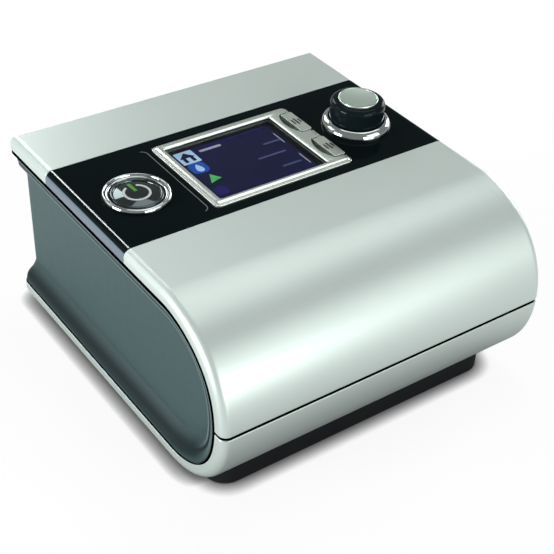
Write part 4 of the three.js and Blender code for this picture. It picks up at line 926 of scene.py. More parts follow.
    def build(self) -> None:
        """Builds and dresses the four covers, the tongue and the strip that paint the seam's shade, the painted
        highlight line and the divider.
        """
        for thing, finish in (
            (self.rear_top_cover(), SILVER), (self.front_cover(), SILVER), (self.band(), GLOSS_BLACK),
            (self.lower_shell(), SILVER), (self.tongue(), SHADOW), (self.gap_line(), SHADOW),
            (self.edge_highlight(), SILVER_INK_AND_HIGHLIGHT), (self.divider(), GREY_INK),
        ):
            dress(thing, finish)


@dataclass
class SidePanels:
    """The slate side panels: a lip all round, a deep pocket that is open to the rear, and a round rear corner."""

    case: Outline = Outline()
    inner: float = 62.0
    inset: float = 6.4
    gap_line: tuple[float, ...] = (-1.1, -0.5, 0.3, 0.75)
    lip: float = 4.4
    lower_lip: float = 2.6
    wall_top: float = 66.0
    wall_bottom: float = 64.7
    rear: float = 69.0
    corner: float = 5.0
    pocket_chin_end: float = 40.0
    # Sections of the rim from outside in: share of the lip's width, reach past the pocket's edge, X, and painted light
    # (a painted highlight on the lip above 0, painted shade in the cove below 0)
    upper: tuple = ((0, 0, 62.0, 0), (0, 0, 68.3, 0), (0.05, 0, 68.75, 0.6), (0.13, 0, 69.05, 1), (0.24, 0, 69.25, 1),
                    (0.38, 0, 69.3, 0.7), (0.46, 0, 69.15, 0), (0.52, 0, 68.5, -1), (0.7, 0, 68.8, -0.9),
                    (0.76, 0, 68.95, 1), (0.94, 0.1, 68.9, 1), (1, 0.6, 67.4, 0.2), (1, 1.6, 66.1, 0))
    under: tuple = ((0, 0, 62.0, 0), (0, 0, 69.1, 0), (0.02, 0, 69.25, 0), (0.06, 0, 69.3, -0.2),
                    (0.2, 0, 69.3, -0.4), (0.38, 0, 69.3, -0.7), (0.6, 0, 69.12, -0.95), (0.78, 0, 68.8, -1),
                    (0.91, 0, 68.4, -1), (1, 0.1, 67.95, -0.95), (1, 0.8, 67.0, -0.8), (1, 2.0, 66.0, -0.55),
                    (1, 3.6, 65.2, -0.3))
    # How far in the wall's own rings lie, with the painted shade of each where the lip is the lower one
    floor_rings: tuple = ((0.8, -0.22), (2.6, -0.1), (5.0, -0.03), (8.0, 0.0))

    def line(self, z: Array) -> Array:
        """How far the rim stands back from the gap's inner edge: the gap closes below and widens above."""
        return np.interp(z, [11.0, 15.0, 30.0, 50.0], self.gap_line)

    def rings(self) -> Path:
        """The rim's rings, from the outside in, each with its points from the rear top round to the rear bottom.

        A ring's point is the outer outline's point, moved towards the pocket's outline by a share, then inwards
        by a reach. The shares, reaches, X and painted light blend from the upper section to the under one by the
        height.

        Returns:
            The rings and the painted light of each point: painted shade in the cove, a painted highlight on the lip.
        """
        turn = self.rear - self.corner + self.corner * np.sin(np.radians(np.linspace(90, 0, 10)))
        depths = join([turn, [62.0, 60.0, 30.0, 0.0, -30.0, -38.5]])
        case, inset = self.case, self.inset + self.lip
        outer, normal = case.path(depths, 0.0, 2.0, depths[::-1][1:], 64)
        outer = outer + normal * (self.inset + self.line(outer[:, 1]))[:, None]
        pocket = Outline(case.front - inset, 75.0, case.top - inset, case.underside + self.inset + self.lower_lip,
                         case.nose, case.bend_start, self.pocket_chin_end)
        inner, normal = pocket.path(depths, 0.0, 2.0, depths[::-1][1:], 64)
        w = np.clip((34.0 - outer[:, 1]) / 20.0, 0, 1)
        w = w * w * (3 - 2 * w)
        lines, painted_lights = [], []
        for a, b in zip(self.upper, self.under):
            share, reach, x, painted_light = ((1 - w) * p + w * q for p, q in zip(a, b))
            flat = outer + (inner - outer) * share[:, None] + normal * reach[:, None]
            lines.append(join([x[:, None], flat], -1))
            painted_lights.append(painted_light)
        edge = lines[-1]
        for reach, painted_light in self.floor_rings:
            ring = edge + join([0 * normal[:, :1], normal * reach], -1)
            ring[:, 0] = self.wall_bottom + (self.wall_top - self.wall_bottom) * (ring[:, 2] - 16.0) / (66.0 - 16.0)
            lines.append(ring)
            painted_lights.append(w * painted_light)
        return np.stack(lines), np.stack(painted_lights)

    def panel(self, side: float, name: str) -> Thing:
        """Closes one panel: the rim, the pocket's floor in strips round the corner, the inside and the rear edge.

        Args:
            side: -1 for the left panel and 1 for the right one.
            name: the piece's name.

        Returns:
            The panel.
        """
        rings, painted_lights = self.rings()
        strips = 11
        rings = turned_in(rings, self.rear - self.corner, self.corner)
        lean = np.clip((rings[0, :, 1] - 61.0) / 5.8, 0, 1)
        rings[0, :, 0] = self.inner - 6.0 * lean * lean * (3 - 2 * lean)
        # The rim carries its painted light: a paler lip, and painted shade in the cove and at the wall's foot
        shell = Shell().grid(rings, painted_light=painted_lights)
        for ring in (rings[0], rings[-1]):
            shell.grid(np.stack([ring[:strips + 1], ring[::-1][:strips + 1]])).cap(ring[strips:len(ring) - strips])
        shell.cap(join([rings[:, 0], rings[::-1, -1]]))
        shell.points[:, 0] *= side
        return bevel(shell.mesh(name, 28), 0.2, 2, 50)

    def gap_shade_frame(self, side: float, name: str) -> Thing:
        """The dark frame that paints the shade in the line between the covers and the panel, as far back as the covers
        at each end.

        Args:
            side: -1 for the left frame and 1 for the right one.
            name: the piece's name.

        Returns:
            The frame.
        """
        upper = [69.3, 69.2, 68.9, 68.4, 67.5, 66.0, 30.0, 0.0, -30.0, -38.5]
        under = self.rear - self.corner + self.corner * np.sin(np.radians(np.linspace(0, 80, 9)))
        path = self.case.path(upper, 0.0, 2.0, join([[-38.5, -30.0, 0.0, 30.0], under]), 64)
        section = np.array([[62.2, 2.8], [67.0, 2.8], [67.3, 4.9], [69.7, 4.9], [69.7, self.inset - 0.1],
                            [67.0, self.inset + 0.2], [62.2, self.inset + 0.2]])
        sections = np.tile(section, (len(path[0]), 1, 1))
        sections[..., 1] += self.line(path[0][:, 1])[:, None] * (section[:, 1] > 6)
        rings = carried(path, sections)
        low = rings[:, 0, 2] < 40
        rings[low] = turned_in(rings[low], self.rear - self.corner, self.corner)
        rings[~low] = turned_in(rings[~low], 68.2, 1.3)
        return Shell().tube(rings * [side, 1, 1]).mesh(name)

    def build(self) -> None:
        """Builds and dresses both panels and the dark frames that paint the shade in their gaps."""
        for side, word in ((-1.0, "left"), (1.0, "right")):
            dress(self.panel(side, f"{word}_side_panel_dressed"), SLATE)
            dress(self.gap_shade_frame(side, f"{word}_gap_shade_frame"), SHADOW)


@dataclass
class Base:
    """The plinth under the casing, its four rubber feet and the four case screws."""

    case: Outline = Outline()
    half: float = 62.0
    front: float = 63.0
    rear: float = 60.0
    corner: float = 8.0
    low: float = 0.4
    foot_x: float = 46.0
    foot_y: Span = (-50.0, 50.0)
    screw_x: float = 52.0
    screw_y: Span = (-30.0, 36.0)

    def plinth(self) -> Thing:
        """Sections across the width, one at each depth: half as wide as the rounded plan, and up to the chin."""
        turn = self.corner * (1 - np.cos(np.radians(np.linspace(0, 90, 11))))
        y = join([-self.front + turn, [-50, -45, -20, 10, 40], (self.rear - turn)[::-1]])
        run = np.clip(self.corner - np.minimum(y + self.front, self.rear - y), 0, self.corner)
        x = self.half - self.corner + np.sqrt(np.maximum(0, self.corner**2 - run**2))
        curve = self.case.bend(np.linspace(1, 2, 200))[0]
        top = np.where(y > -self.case.chin_end, self.case.underside, np.interp(y, *curve.T)) - 0.3
        rings = np.stack([np.stack([side * x, y, z], -1) for side, z in
                          ((-1, 0 * x + self.low), (1, 0 * x + self.low), (1, top), (-1, top))], 1)
        holes = [rod(s * self.screw_x, y0, 3.3, (-2, 8), Axis.UP, 48) for s in (-1, 1) for y0 in self.screw_y]
        return bevel(carve(Shell().tube(rings).mesh("base_plinth_dressed"), holes), 0.5, 3)

    def foot(self, x: float, y: float, name: str) -> Thing:
        """A turned rubber foot with a round edge and a shallow ring in its sole."""
        sole = [[5.2, 0], [5.0, 0.35], [4.2, 0.35], [4.0, 0], [0, 0]]
        return turned(name, [[[0, 1.9], [7, 1.9]], arc(6.3, 0.7, 0.7, 0, -90, 6), sole], x, y, sides=64)

    def screw(self, x: float, y: float, name: str) -> Thing:
        """A pan-head screw: the turned head and shank, with a cross recess cut in the head."""
        shank = [[0, 17.2], [1.1, 17.2], [1.5, 16.5], [1.5, 4.2], [3.0, 4.2]]
        thing = turned(name, [shank, arc(2.2, 3.2, 0.8, 0, -90, 6), [[0, 2.4]]], x, y, sides=48)
        return carve(thing, [brick((x - a, x + a), (y - b, y + b), (2.0, 3.4)) for a, b in ((1.7, 0.35), (0.35, 1.7))])

    def build(self) -> None:
        """Builds and dresses the plinth, the feet and the screws."""
        dress(self.plinth(), RUBBER)
        for word, x, depths, make, finish in (("foot", self.foot_x, self.foot_y, self.foot, SOFT_RUBBER),
                                              ("case_screw", self.screw_x, self.screw_y, self.screw, STEEL)):
            for y, end in zip(depths, ("front", "rear")):
                for side, hand in ((-1, "left"), (1, "right")):
                    dress(make(side * x, y, f"{word}_{end}_{hand}_dressed"), finish)


# ---------------------------------------------------------------- controls


@dataclass
class StartButton:
    """The start button: a chrome ring, a glossy dome, and a common power sign with a green light."""

    x: float = -49.4
    y: float = 11.1
    dome_radius: float = 9.6
    dome_edge: float = 75.6
    dome_top: float = 76.5
    sign_radius: float = 4.65
    sign_width: float = 0.9
    gap_degrees: float = 25.0

    def dome(self, r: Array) -> Array:
        """The dome's height: its top less a share that grows with the radius squared."""
        return self.dome_top - 0.1 - 1.1 * (r / self.dome_radius) ** 2

    def ring(self) -> Thing:
        """The ring: two half-round crests side by side over a straight skirt, the inner one lower."""
        crests = [arc(10.55, 75.35, 0.6, 180, 0, 16, 0.65), arc(11.8, 75.1, 0.6, 180, 0, 16, 1.4)]
        profile = [[[9.95, 71.8]], *crests, [[11.0, 75.02], [11.0, 71.8]]]
        return turned("start_button_ring_dressed", profile, self.x, self.y, sides=160)

    def cap(self) -> Thing:
        """The dome inside a raised rim, its skirt, its flange and its stem."""
        r = np.linspace(0, self.dome_radius - 1.5, 14)
        edge = arc(self.dome_radius - 0.7, self.dome_edge - 0.2, 0.7, 165, 0, 12)
        rest = [[9.6, 71.5], [10.7, 71.5], [10.7, 70.6], [1.4, 70.6], [1.4, 67.9], [0, 67.9]]
        profile = [np.stack([r, self.dome(r)], -1), edge, rest]
        return turned("start_button_dressed", profile, self.x, self.y, sides=128)

    def sign(self) -> Thing:
        """An open ring on the dome, its gap towards the rear."""
        flat = arc(self.x, self.y, self.sign_radius, 90 + self.gap_degrees, 450 - self.gap_degrees, 72)
        return strip_along("power_sign", lifted(flat, self.dome(self.sign_radius)), UP, self.sign_width, 0.05)

    def lamp(self) -> Thing:
        """The green bar through the sign's gap."""
        y = np.linspace(0.6, 6.4, 12)
        return strip_along("start_lamp", np.stack([0 * y + self.x, self.y + y, self.dome(y)], -1), UP, 1.2, 0.07)

    def build(self) -> None:
        """Builds and dresses the ring, the dome, the sign and the lamp."""
        dress(self.ring(), CHROME)
        dress(self.cap(), DARK_MIRROR, "start_key")
        dress(self.sign(), SILVER_INK_AND_HIGHLIGHT, "start_key")
        dress(self.lamp(), GREEN_LAMP, "start_key")
        dress_solids(DARK, "start_switch")


@dataclass
class Screen:
    """The screen: a satin bezel with two key slots, a clear window and a lit picture of plain shapes."""

    sides: tuple[float, ...] = (-30.0, 30.5, -10.25, 34.85)
    opening: tuple[float, ...] = (-26.5, 21.2, -7.1, 31.3)
    corner: float = 2.2
    key_y: Span = (22.7, 1.9)
    slot_x: float = 25.2
    slot_half: float = 7.6
    slot_end: float = 32.5
    scoop: float = 1.6
    slot_floor: float = 72.2
    picture: float = 73.4

    def nested(self, sides: Sequence[float], corner: float, shrink: float, levels: Sequence[Span]) -> Array:
        """Rounded rectangles, one at each level's inset and height; the corner shrinks by a share of the inset."""
        return np.stack([
            lifted(round_rectangle(*np.add(sides, (i, -i, i, -i)), corner - shrink * i), z) for i, z in levels
        ])

    def slot(self, y: float) -> Thing:
        """The cutter for a key's slot: open to the right, with a curved left side that flares towards the top.

        The curve's radius is half chord squared plus sagitta squared, over twice the sagitta.

        Args:
            y: the middle of the key.

        Returns:
            The cutter.
        """
        levels = []
        for flare, z in ((0.0, self.slot_floor), (0.0, 75.2), (0.9, 76.2)):
            h, s = self.slot_half + flare * 0.2, self.scoop + flare
            bulge = (h * h + s * s) / (2 * s)
            lean = math.degrees(math.asin(h / bulge))
            curve = arc(self.slot_x - s + bulge, y, bulge, 180 - lean, 180 + lean, 24)
            levels.append(lifted(join([curve, [[self.slot_end, y - h], [self.slot_end, y + h]]]), z))
        return Shell().tube(np.stack(levels)).mesh("slot")

    def bezel(self) -> Thing:
        """Nested rounded rectangles: up the outside, over a sloped edge, across the top and down the opening."""
        rim = ((0.0, 71.0), (0.0, 75.3), (0.12, 75.45), (0.75, 75.5), (0.85, 75.6), (1.9, 76.08), (2.1, 76.1))
        hole = ((-0.35, 76.1), (-0.1, 76.0), (0.25, 75.6), (0.25, 75.2), (-0.6, 75.1), (-0.6, 71.0))
        rings = join([self.nested(self.sides, self.corner, 0.8, rim), self.nested(self.opening, 1.0, 1.0, hole)])
        thing = Shell().grid(rings, row_loop=True, col_loop=True).mesh("screen_bezel_dressed", 25)
        return bevel(carve(thing, [self.slot(y) for y in self.key_y], sharp=25), 0.12)

    def liner(self) -> Thing:
        """The dark frame between the bezel and the window."""
        rings = self.nested(self.opening, 1.0, 1.0, ((-0.5, 75.0), (0.3, 75.0), (0.3, 74.85), (-0.5, 74.85)))
        return Shell().grid(rings, row_loop=True, col_loop=True).mesh("screen_liner")

    def shapes(self) -> list[tuple[str, Array, int, Finish]]:
        """The lit picture: a menu of pictograms on the left, bars for its lines, and two marks by the keys.

        Returns:
            Each shape's name, outline, level above the display and finish.
        """
        a = np.radians(np.linspace(0, 360, 41))[:-1]
        drop = np.stack([-19.8 + 1.9 * np.sin(a) * np.sin(a / 2), 17.0 + 2.6 * np.cos(a)], -1)
        house = [round_rectangle(x, x + 1.4, 22.0, 25.0, 0.1, 2) for x in (-22.1, -18.9)]
        header, *bars = (
            (name, round_rectangle(x - w / 2, x + w / 2, y - h / 2, y + h / 2, min(w, h) * 0.45, 4), 1, finish)
            for name, x, y, w, h, finish in (
                ("header", 1.0, 29.0, 32.0, 0.6, LIT_VIOLET), ("title", -8.9, 26.6, 9.5, 1.3, LIT_GREY),
                ("line_upper", 13.6, 18.6, 7.5, 0.9, LIT_DIM), ("line_middle", 8.6, 11.0, 12.5, 0.9, LIT_DIM),
                ("line_lower", 11.6, 2.4, 8.5, 0.9, LIT_DIM), ("mark_upper", 17.8, 19.6, 0.4, 7.5, LIT_GREY),
                ("mark_lower", 17.8, 3.0, 0.4, 7.5, LIT_GREY),
            )
        )
        return [
            header,
            ("glow", round_rectangle(-23.6, -18.2, -2.2, 3.2, 1.6, 5), 1, LIT_VIOLET),
            ("tile", round_rectangle(-23.6, -16.0, 20.9, 29.4, 0.4, 4), 1, LIT_PALE),
            ("house_roof", np.array([(-23.0, 24.9), (-16.6, 24.9), (-19.8, 28.4)]), 2, LIT_NAVY),
            *((f"house_wall_{i}", wall, 2, LIT_NAVY) for i, wall in enumerate(house)),
            ("drop_ground", round_rectangle(-23.4, -16.4, 13.6, 20.7, 2.2, 5), 1, LIT_BLUE),
            ("drop", drop, 2, LIT_PALE),
            ("arrow", np.array([(-21.4, 6.2), (-16.2, 7.6), (-18.9, 11.6)]), 1, LIT_GREEN),
            *bars,
        ]

    def build(self) -> None:
        """Builds and dresses the bezel, the liner, the window, the display and its picture."""
        z, flat = self.picture, Axis.UP
        dress(self.bezel(), SATIN)
        dress(self.liner(), SHADOW)
        dress(plate("screen_window_dressed", (-27.2, 21.9, -7.8, 32.0), 1.0, (73.8, 74.8), flat, 8), WINDOW)
        panel = plate("display_dressed", (-27.2, 21.9, -7.8, 32.0), 0.8, (65.9, z - 0.06), flat, 8)
        dress(bevel(panel, 0.3), TIN, node="display_module")
        dress(plate("display_border", (-27.0, 21.7, -7.6, 31.8), 0.5, (z - 0.1, z - 0.02), flat, 8), LIT_DARK)
        dress(plate("display_ground", (-24.9, 18.9, -6.4, 30.2), 0.3, (z - 0.1, z), flat, 8), LIT_NAVY)
        for name, outline, level, finish in self.shapes():
            dress(raised(f"display_{name}", outline, z - 0.02, z + 0.04 * level), finish)


@dataclass
class SoftKeys:
    """The two keys on the right of the screen, with a plain mark of three bars on each."""

    x0: float = 25.6
    x1: float = 30.4
    middle: float = 28.0
    half: float = 7.05
    top: float = 76.1
    thickness: float = 2.4
    places: tuple[tuple[str, float], ...] = (("info", 22.7), ("setup", 1.9))
    bars: tuple[Span, ...] = ((-1.3, 3.4), (0.1, 4.6), (1.5, 2.6))

    def key(self, word: str, y: float) -> Thing:
        """A flat plate with a soft edge, on a short stem."""
        sides = (self.x0, self.x1, y - self.half, y + self.half)
        key = plate(f"{word}_button_dressed", sides, 0.6, (self.top - self.thickness, self.top), Axis.UP, 5)
        return bevel(carve(key, [rod(self.middle, y, 1.4, (67.4, self.top - 1.0), Axis.UP, 32)], unite=True), 0.35, 3)

    def build(self) -> None:
        """Builds and dresses the keys and their marks."""
        for word, y in self.places:
            body = f"{word}_key"
            dress(self.key(word, y), SATIN, body)
            for i, (dx, length) in enumerate(self.bars):
                x = self.middle + dx
                sides = (x - 0.4, x + 0.4, y - length / 2, y + length / 2)
                ends = (self.top - 0.02, self.top + 0.02)
                dress(plate(f"{word}_key_mark_{i}", sides, 0.2, ends, Axis.UP, 3), DARK_INK, body)
            dress_solids(DARK, f"{word}_switch")


@dataclass
class Dial:
    """The dial: a chrome ring, a gloss black knob and a dished metal cap."""

    x: float = 48.1
    y: float = 11.1
    knob_radius: float = 10.6
    knob_low: float = 74.9
    knob_top: float = 86.0
    cap_radius: float = 7.7
    cap_top: float = 86.5
    dish: float = 0.5

    def ring(self) -> Thing:
        """The ring: a quarter of an ellipse that climbs from the hole's edge to the knob, over a straight skirt."""
        slope = arc(11.1, 75.05, 2.5, 90, 0, 30, 3.1)
        profile = [[[10.95, 72.2], [10.95, 78.0]], slope, [[12.2, 75.03], [12.2, 72.2]]]
        return turned("dial_ring_dressed", profile, self.x, self.y, sides=160)

    def knob(self) -> Thing:
        """The knob: a straight side with a shallow line under its edge, a round edge and a seat for the cap."""
        r, low = self.knob_radius, self.knob_low
        side = [[0, 83.3], [8.8, 83.3], [8.8, low], [r - 0.25, low], [r - 0.05, low + 0.3], [r, low + 0.9], [r, 82.9],
                [r - 0.18, 83.05], [r - 0.18, 83.2], [r, 83.35]]
        edge = arc(r - 1.9, self.knob_top - 2.1, 1.9, 0, 90, 10)
        seat = [[8.2, 85.86], [7.95, 85.5], [7.95, 85.0], [0, 85.0]]
        return turned("dial_knob_dressed", [side, edge, seat], self.x, self.y, sides=128)

    def cap(self) -> Thing:
        """The cap: a thin bright rim round a dish whose depth grows towards the middle."""
        groove, top = self.cap_radius - 0.75, self.cap_top
        r = np.linspace(0, groove, 12)
        dish = np.stack([r, top - self.dish + (self.dish - 0.1) * (r / groove) ** 2], -1)
        slit = [[groove, top - 0.5], [groove + 0.3, top - 0.5]]
        rim = arc(self.cap_radius - 0.22, top - 0.22, 0.22, 180, 0, 10)
        profile = [dish, slit, rim, [[self.cap_radius, 85.3], [0, 85.3]]]
        return turned("dial_cap_dressed", profile, self.x, self.y, sides=128)

    def build(self) -> None:
        """Builds and dresses the ring, the knob, the cap and what carries them."""
        dress(self.ring(), CHROME)
        dress(self.knob(), KNOB_BLACK, "dial")
        dress(self.cap(), CAP_METAL, "dial")
        for finish, node in ((STEEL, "dial_shaft"), (DARK, "encoder_body"), (WHITE, "encoder_rotor")):
            dress_solids(finish, node)


# ---------------------------------------------------------------- rear and inside


@dataclass
class RearFace:
    """The rear panel, with its well, filter bay, card slot and connector holes."""

    half: float = 55.7
    front: float = 66.8
    rear: float = 69.0
    low: float = 10.9
    high: float = 68.6
    well: tuple[float, float, float] = (-36.0, 34.0, 17.5)

    def build(self) -> None:
        """A plate joined to the well's cup and the bay's box, then opened by the well, the bay and the holes."""
        thing = plate("rear_panel_dressed", (-self.half, self.half, self.low, self.high), 1.0, (self.front, self.rear))
        x, z, r = self.well
        cup, bay = rod(x, z, r + 2, (50.8, self.rear - 0.5)), brick((17.4, 56.0), (56.9, 68.5), (28.0, 65.2))
        carve(thing, [cup, bay], unite=True)
        dress(bevel(carve(thing, [
            rod(x, z, r, (52.8, 72)),
            rod(x, z, 11.5, (40, 72)),
            plate("opening", (20.6, 52.8, 31.2, 62.0), 1.6, (58.4, 72), steps=6),
            brick((22, 35), (50, 60), (51.5, 59.2)),
            plate("inlet", (26.7, 41.3, 15.6, 27.4), 1.0, (60, 72), steps=5),
            plate("card", (-15.9, 11.9, 40.9, 43.7), 0.4, (60, 72)),
            plate("port", (-4.8, 8.8, 15.6, 27.2), 1.0, (60, 72), steps=5),
        ]), 0.3), SLATE)


@dataclass
class AirPath:
    """The outlet tube and its coupler, the filter with its cover, and the intake."""

    x: float = -36.0
    z: float = 34.0
    louvres: int = 6
    cover_low: float = 31.5
    cover_height: float = 30.2

    def tube(self) -> Thing:
        """The tapered outlet with a round lip, a flange behind the well's floor and a bore right through."""
        side = [[10.4, 41.8], [10.9, 42.3], [11.2, 52.5], [11.2, 53.0], [10.75, 75.0]]
        profile = [side, arc(9.6, 75.35, 1.15, 0, 180, 10), [[8.45, 74.9], [8.45, 41.8]]]
        return turned("outlet_tube_dressed", profile, self.x, self.z, Axis.BACK)

    def cover(self) -> Thing:
        """The filter cover: a plate with slanting louvres, a finger grip and a frame that holds the filter."""
        thing = plate("filter_cover_dressed", (20.9, 52.5, 31.5, 61.7), 1.4, (61.0, 69.0), steps=6)
        hollow = [plate("hollow", (22.1, 51.3, 32.7, 60.5), 0.8, (55, 66.6))]
        for z in self.cover_low + self.cover_height * np.arange(1, self.louvres + 1) / (self.louvres + 1):
            outline = np.array([[60.0, z - 2.3], [72.0, z - 0.1], [72.0, z + 1.7], [60.0, z - 0.5]])
            hollow.append(raised("louvre", outline, 24.9, 48.5, Axis.SIDE))
        grip = plate("grip", (33.7, 39.7, 58.9, 60.6), 0.8, (68.3, 70), steps=6)
        return bevel(carve(carve(thing, hollow), [grip]), 0.25)

    def build(self) -> None:
        """Builds and dresses the tube, the cover, the filter and the foam, and dresses the intake and the coupler."""
        dress(self.tube(), DARK)
        dress(self.cover(), SLATE, "filter_door")
        felt = plate("air_filter_dressed", (22.4, 51.0, 33.0, 60.2), 0.8, (61.3, 66.3), steps=5)
        dress(bevel(felt, 0.6, 3), FELT, "filter_door")
        dress_solids(SOFT_RUBBER, "outlet_coupler")
        dress_solids(DARK, "intake_box", "intake_lid")
        foam = from_cad("intake_foam")
        dress(bevel(foam, 0.4), FOAM)


@dataclass
class Inside:
    """The blower and the boards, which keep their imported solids."""

    nodes: tuple[tuple[Finish, tuple[str, ...]], ...] = (
        (WHITE, ("blower_base", "blower_lid", "impeller")),
        (STEEL, ("motor_shaft", "motor_bearing", "motor_bell", "clock_cell", "card_socket")),
        (IRON, ("motor_stator",)),
        (SOFT_RUBBER, ("blower_mount_rear", "blower_mount_front", "blower_mount_left")),
        (BOARD, ("control_board", "main_board")),
        (BRASS, ("inlet_contacts",)),
        (DARK, ("data_port",)),
    )

    def build(self) -> None:
        """Dresses each node."""
        for finish, nodes in self.nodes:
            dress_solids(finish, *nodes)


@dataclass
class RearConnections:
    """The power inlet with its clip, the memory card and the data port's cover."""

    inlet_x: float = 34.0
    inlet_z: float = 21.5

    def inlet(self) -> Thing:
        """The inlet's block with a deep round bore and a lead-in."""
        thing = plate("power_inlet_dressed", (27, 41, 15.9, 27.1), 0.8, (52.0, 69.0), steps=5)
        profile = [[[0, 58.0], [4.7, 58.0], [4.7, 68.4], [5.3, 69.2], [5.3, 72], [0, 72]]]
        return bevel(carve(thing, [turned("bore", profile, self.inlet_x, self.inlet_z, Axis.BACK, 64)]), 0.2)

    def card(self) -> Thing:
        """The memory card: a thin plate with one cut corner and a grip groove near its end."""
        outline = np.array([[-14, 38.4], [7, 38.4], [10, 41.4], [10, 70.4], [-14, 70.4]])
        thing = raised("memory_card_dressed", outline, 41.3, 43.3)
        return bevel(carve(thing, [brick((-9, 5), (68.9, 69.4), (43.0, 44))]), 0.2)

    def port_cover(self) -> Thing:
        """The port's rubber cover: a plate with a finger groove, on a plug."""
        thing = plate("data_port_cover_dressed", (-4.5, 8.5, 15.9, 26.9), 1.0, (67.2, 69.5), steps=5)
        carve(thing, [plate("plug", (-2.7, 6.7, 17.7, 25.1), 0.6, (64.9, 67.6))], unite=True)
        return bevel(carve(thing, [plate("groove", (-1.5, 5.5, 24.2, 25.2), 0.45, (69.1, 72))]), 0.35, 3)

    def build(self) -> None:
        """Builds and dresses the connections; the wire-like clip keeps its solid's form with rounded edges."""
        dress(self.inlet(), DARK)
        dress(bevel(from_cad("retention_clip"), 0.3), STEEL, "clip")
        dress(self.card(), DARK, "card")
        dress(self.port_cover(), SOFT_RUBBER, "port_cap")


# ---------------------------------------------------------------- studio


@dataclass(frozen=True)
class Softbox:
    """A soft square lamp: where it stands, its side and its power; it points at the machine."""

    name: str
    place: tuple[float, float, float]
    side: float
    watts: float
    aim: tuple[float, float, float] = (0.0, 0.0, 0.04)

    def hang(self) -> None:
        """Puts the lamp in the scene."""
        lamp = bpy.data.lights.new(self.name, "AREA")
        lamp.shape, lamp.size, lamp.energy = "SQUARE", self.side, self.watts
        thing = put(self.name, lamp)
        thing.location = self.place
        thing.rotation_mode = "QUATERNION"
        thing.rotation_quaternion = (Vector(self.aim) - Vector(self.place)).to_track_quat("-Z", "Y")


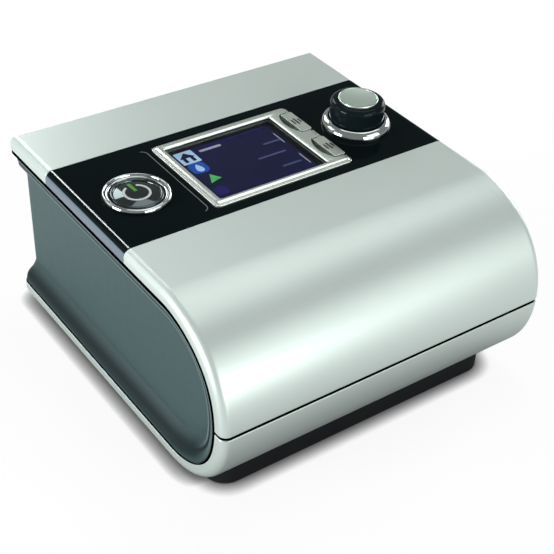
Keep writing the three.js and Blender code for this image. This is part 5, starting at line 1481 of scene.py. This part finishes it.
@dataclass
class Studio:
    """The camera, the lamps, the white surroundings and the pale floor."""

    eye: tuple[float, ...] = (-0.233649, -0.309821, 0.320851)
    # The camera's right, up and back directions
    turn: tuple[tuple[float, ...], ...] = (
        (0.81372, -0.57881, 0.05331), (0.31581, 0.51724, 0.79544), (-0.48798, -0.63043, 0.60368),
    )
    lens: float = 81.94
    sensor: float = 36.0
    # Linear colour of the soft light, and the floor's two greys: for the rest, and for the rays that see it
    sky: tuple[float, ...] = (0.96, 0.98, 1.0, 1.0)
    floor_greys: Span = (0.1, 0.95)
    world_light: float = 0.08
    world_gloss: float = 0.32
    floor_half: float = 4.0
    floor_gloss: float = 1.0
    # The floor's painted shadow: the power and reach of its darkening near the machine, then the same for the rays
    # that see it in gloss
    contact_shadow_power: float = 3.6
    contact_shadow_reach: float = 0.0066
    gloss_shadow_power: float = 4.5
    gloss_shadow_reach: float = 0.06
    lit_share: float = 0.88
    boxes: tuple[Softbox, ...] = (
        Softbox("overhead_softbox", (0.3, 0.2, 0.95), 0.7, 3.3),
        Softbox("rear_softbox", (0.1, 1.15, 0.72), 0.5, 5.8),
        Softbox("left_rear_softbox", (-0.8, 0.72, 0.6), 0.5, 1.8),
        Softbox("left_softbox", (-1.1, 0.1, 0.14), 0.5, 22.0),
        Softbox("right_softbox", (1.1, 0.25, 0.35), 0.5, 5.0),
        Softbox("low_front_softbox", (0.15, -1.25, 0.2), 0.7, 12.0),
        Softbox("front_softbox", (0.6, -1.1, 0.65), 0.9, 5.8),
    )

    def camera(self) -> None:
        """The camera at the photograph's place, turned by its three directions."""
        data = bpy.data.cameras.new("camera")
        data.lens, data.sensor_width = self.lens, self.sensor
        data.clip_start, data.clip_end = 0.01, 50.0
        thing = put("camera", data)
        thing.rotation_mode = "QUATERNION"
        thing.rotation_quaternion = Matrix(self.turn).transposed().to_quaternion()
        thing.location = self.eye
        bpy.context.scene.camera = thing

    def seen(self, tree: Tree, gloss: float) -> Socket:
        """1 for the rays that see the background, from the camera and through glass, and a share of 1 in gloss."""
        path = add(tree, "LightPath", {}).outputs
        part = add(tree, "Math", {0: path["Is Glossy Ray"], 1: gloss}, operation="MULTIPLY").outputs[0]
        first = add(tree, "Math", {0: path["Is Camera Ray"], 1: part}, operation="MAXIMUM").outputs[0]
        return add(tree, "Math", {0: first, 1: path["Is Transmission Ray"]}, operation="MAXIMUM").outputs[0]

    def surroundings(self) -> None:
        """A white world for what is seen, and a softer one for the light that it gives."""
        world = bpy.data.worlds.new("white_studio")
        bpy.context.scene.world = world
        world.use_nodes = True
        tree = world.node_tree
        tree.nodes.clear()
        white = add(tree, "Background", {"Color": "ffffff", "Strength": 1.0}).outputs[0]
        soft = add(tree, "Background", {"Color": self.sky, "Strength": self.world_light}).outputs[0]
        mix = add(tree, "MixShader", {0: self.seen(tree, self.world_gloss), 1: soft, 2: white})
        add(tree, "OutputWorld", {"Surface": mix.outputs[0]})

    def glow_with_painted_shadow(self, tree: Tree, reach: float, power: float) -> Socket:
        """A white glow with a painted shadow: its strength is the share of open room within a reach, to a power."""
        near = add(tree, "AmbientOcclusion", {"Distance": reach}).outputs["AO"]
        share = add(tree, "Math", {0: near, 1: power}, operation="POWER").outputs[0]
        return add(tree, "Emission", {"Color": "ffffff", "Strength": share}).outputs[0]

    def floor(self) -> None:
        """A pale floor that keeps the shadow: matt paint, lightened for the rays that see it and grey for the rest.

        Its glow carries a painted contact shadow: it darkens within a few centimetres of the machine, where less of
        the room reaches it, and over a wider reach for the rays that see it in gloss.
        """
        s = self.floor_half
        data = bpy.data.meshes.new("floor")
        data.from_pydata([(-s, -s, 0), (s, -s, 0), (s, s, 0), (-s, s, 0)], [], [(0, 1, 2, 3)])
        paint = bpy.data.materials.new("white_studio_floor")
        paint.use_nodes = True
        tree = paint.node_tree
        tree.nodes.clear()
        grey, matt = (add(tree, "BsdfDiffuse", {"Color": (v, v, v, 1)}).outputs[0] for v in self.floor_greys)
        near = self.glow_with_painted_shadow(tree, self.contact_shadow_reach, self.contact_shadow_power)
        wide = self.glow_with_painted_shadow(tree, self.gloss_shadow_reach, self.gloss_shadow_power)
        pale = add(tree, "MixShader", {0: self.lit_share, 1: matt, 2: near}).outputs[0]
        glossy = add(tree, "Math", {0: add(tree, "LightPath", {}).outputs["Is Glossy Ray"], 1: self.floor_gloss},
                     operation="MULTIPLY").outputs[0]
        rest = add(tree, "MixShader", {0: glossy, 1: grey, 2: wide}).outputs[0]
        mix = add(tree, "MixShader", {0: self.seen(tree, 0.0), 1: rest, 2: pale}).outputs[0]
        add(tree, "OutputMaterial", {"Surface": mix})
        data.materials.append(paint)
        put("floor", data)

    def build(self) -> None:
        """Sets up the whole studio."""
        self.camera()
        self.surroundings()
        self.floor()
        for box in self.boxes:
            box.hang()
        bpy.context.scene.view_settings.view_transform = "Standard"


def main() -> None:
    """Builds the studio and each sub-assembly in order."""
    logging.basicConfig(level=logging.INFO, format="%(name)s %(message)s")
    for part in (Studio(), Casing(), SidePanels(), Base(), StartButton(), Screen(), SoftKeys(), Dial(), RearFace(),
                 AirPath(), Inside(), RearConnections()):
        log.info("building %s", type(part).__name__)
        part.build()


if __name__ == "__main__":
    main()
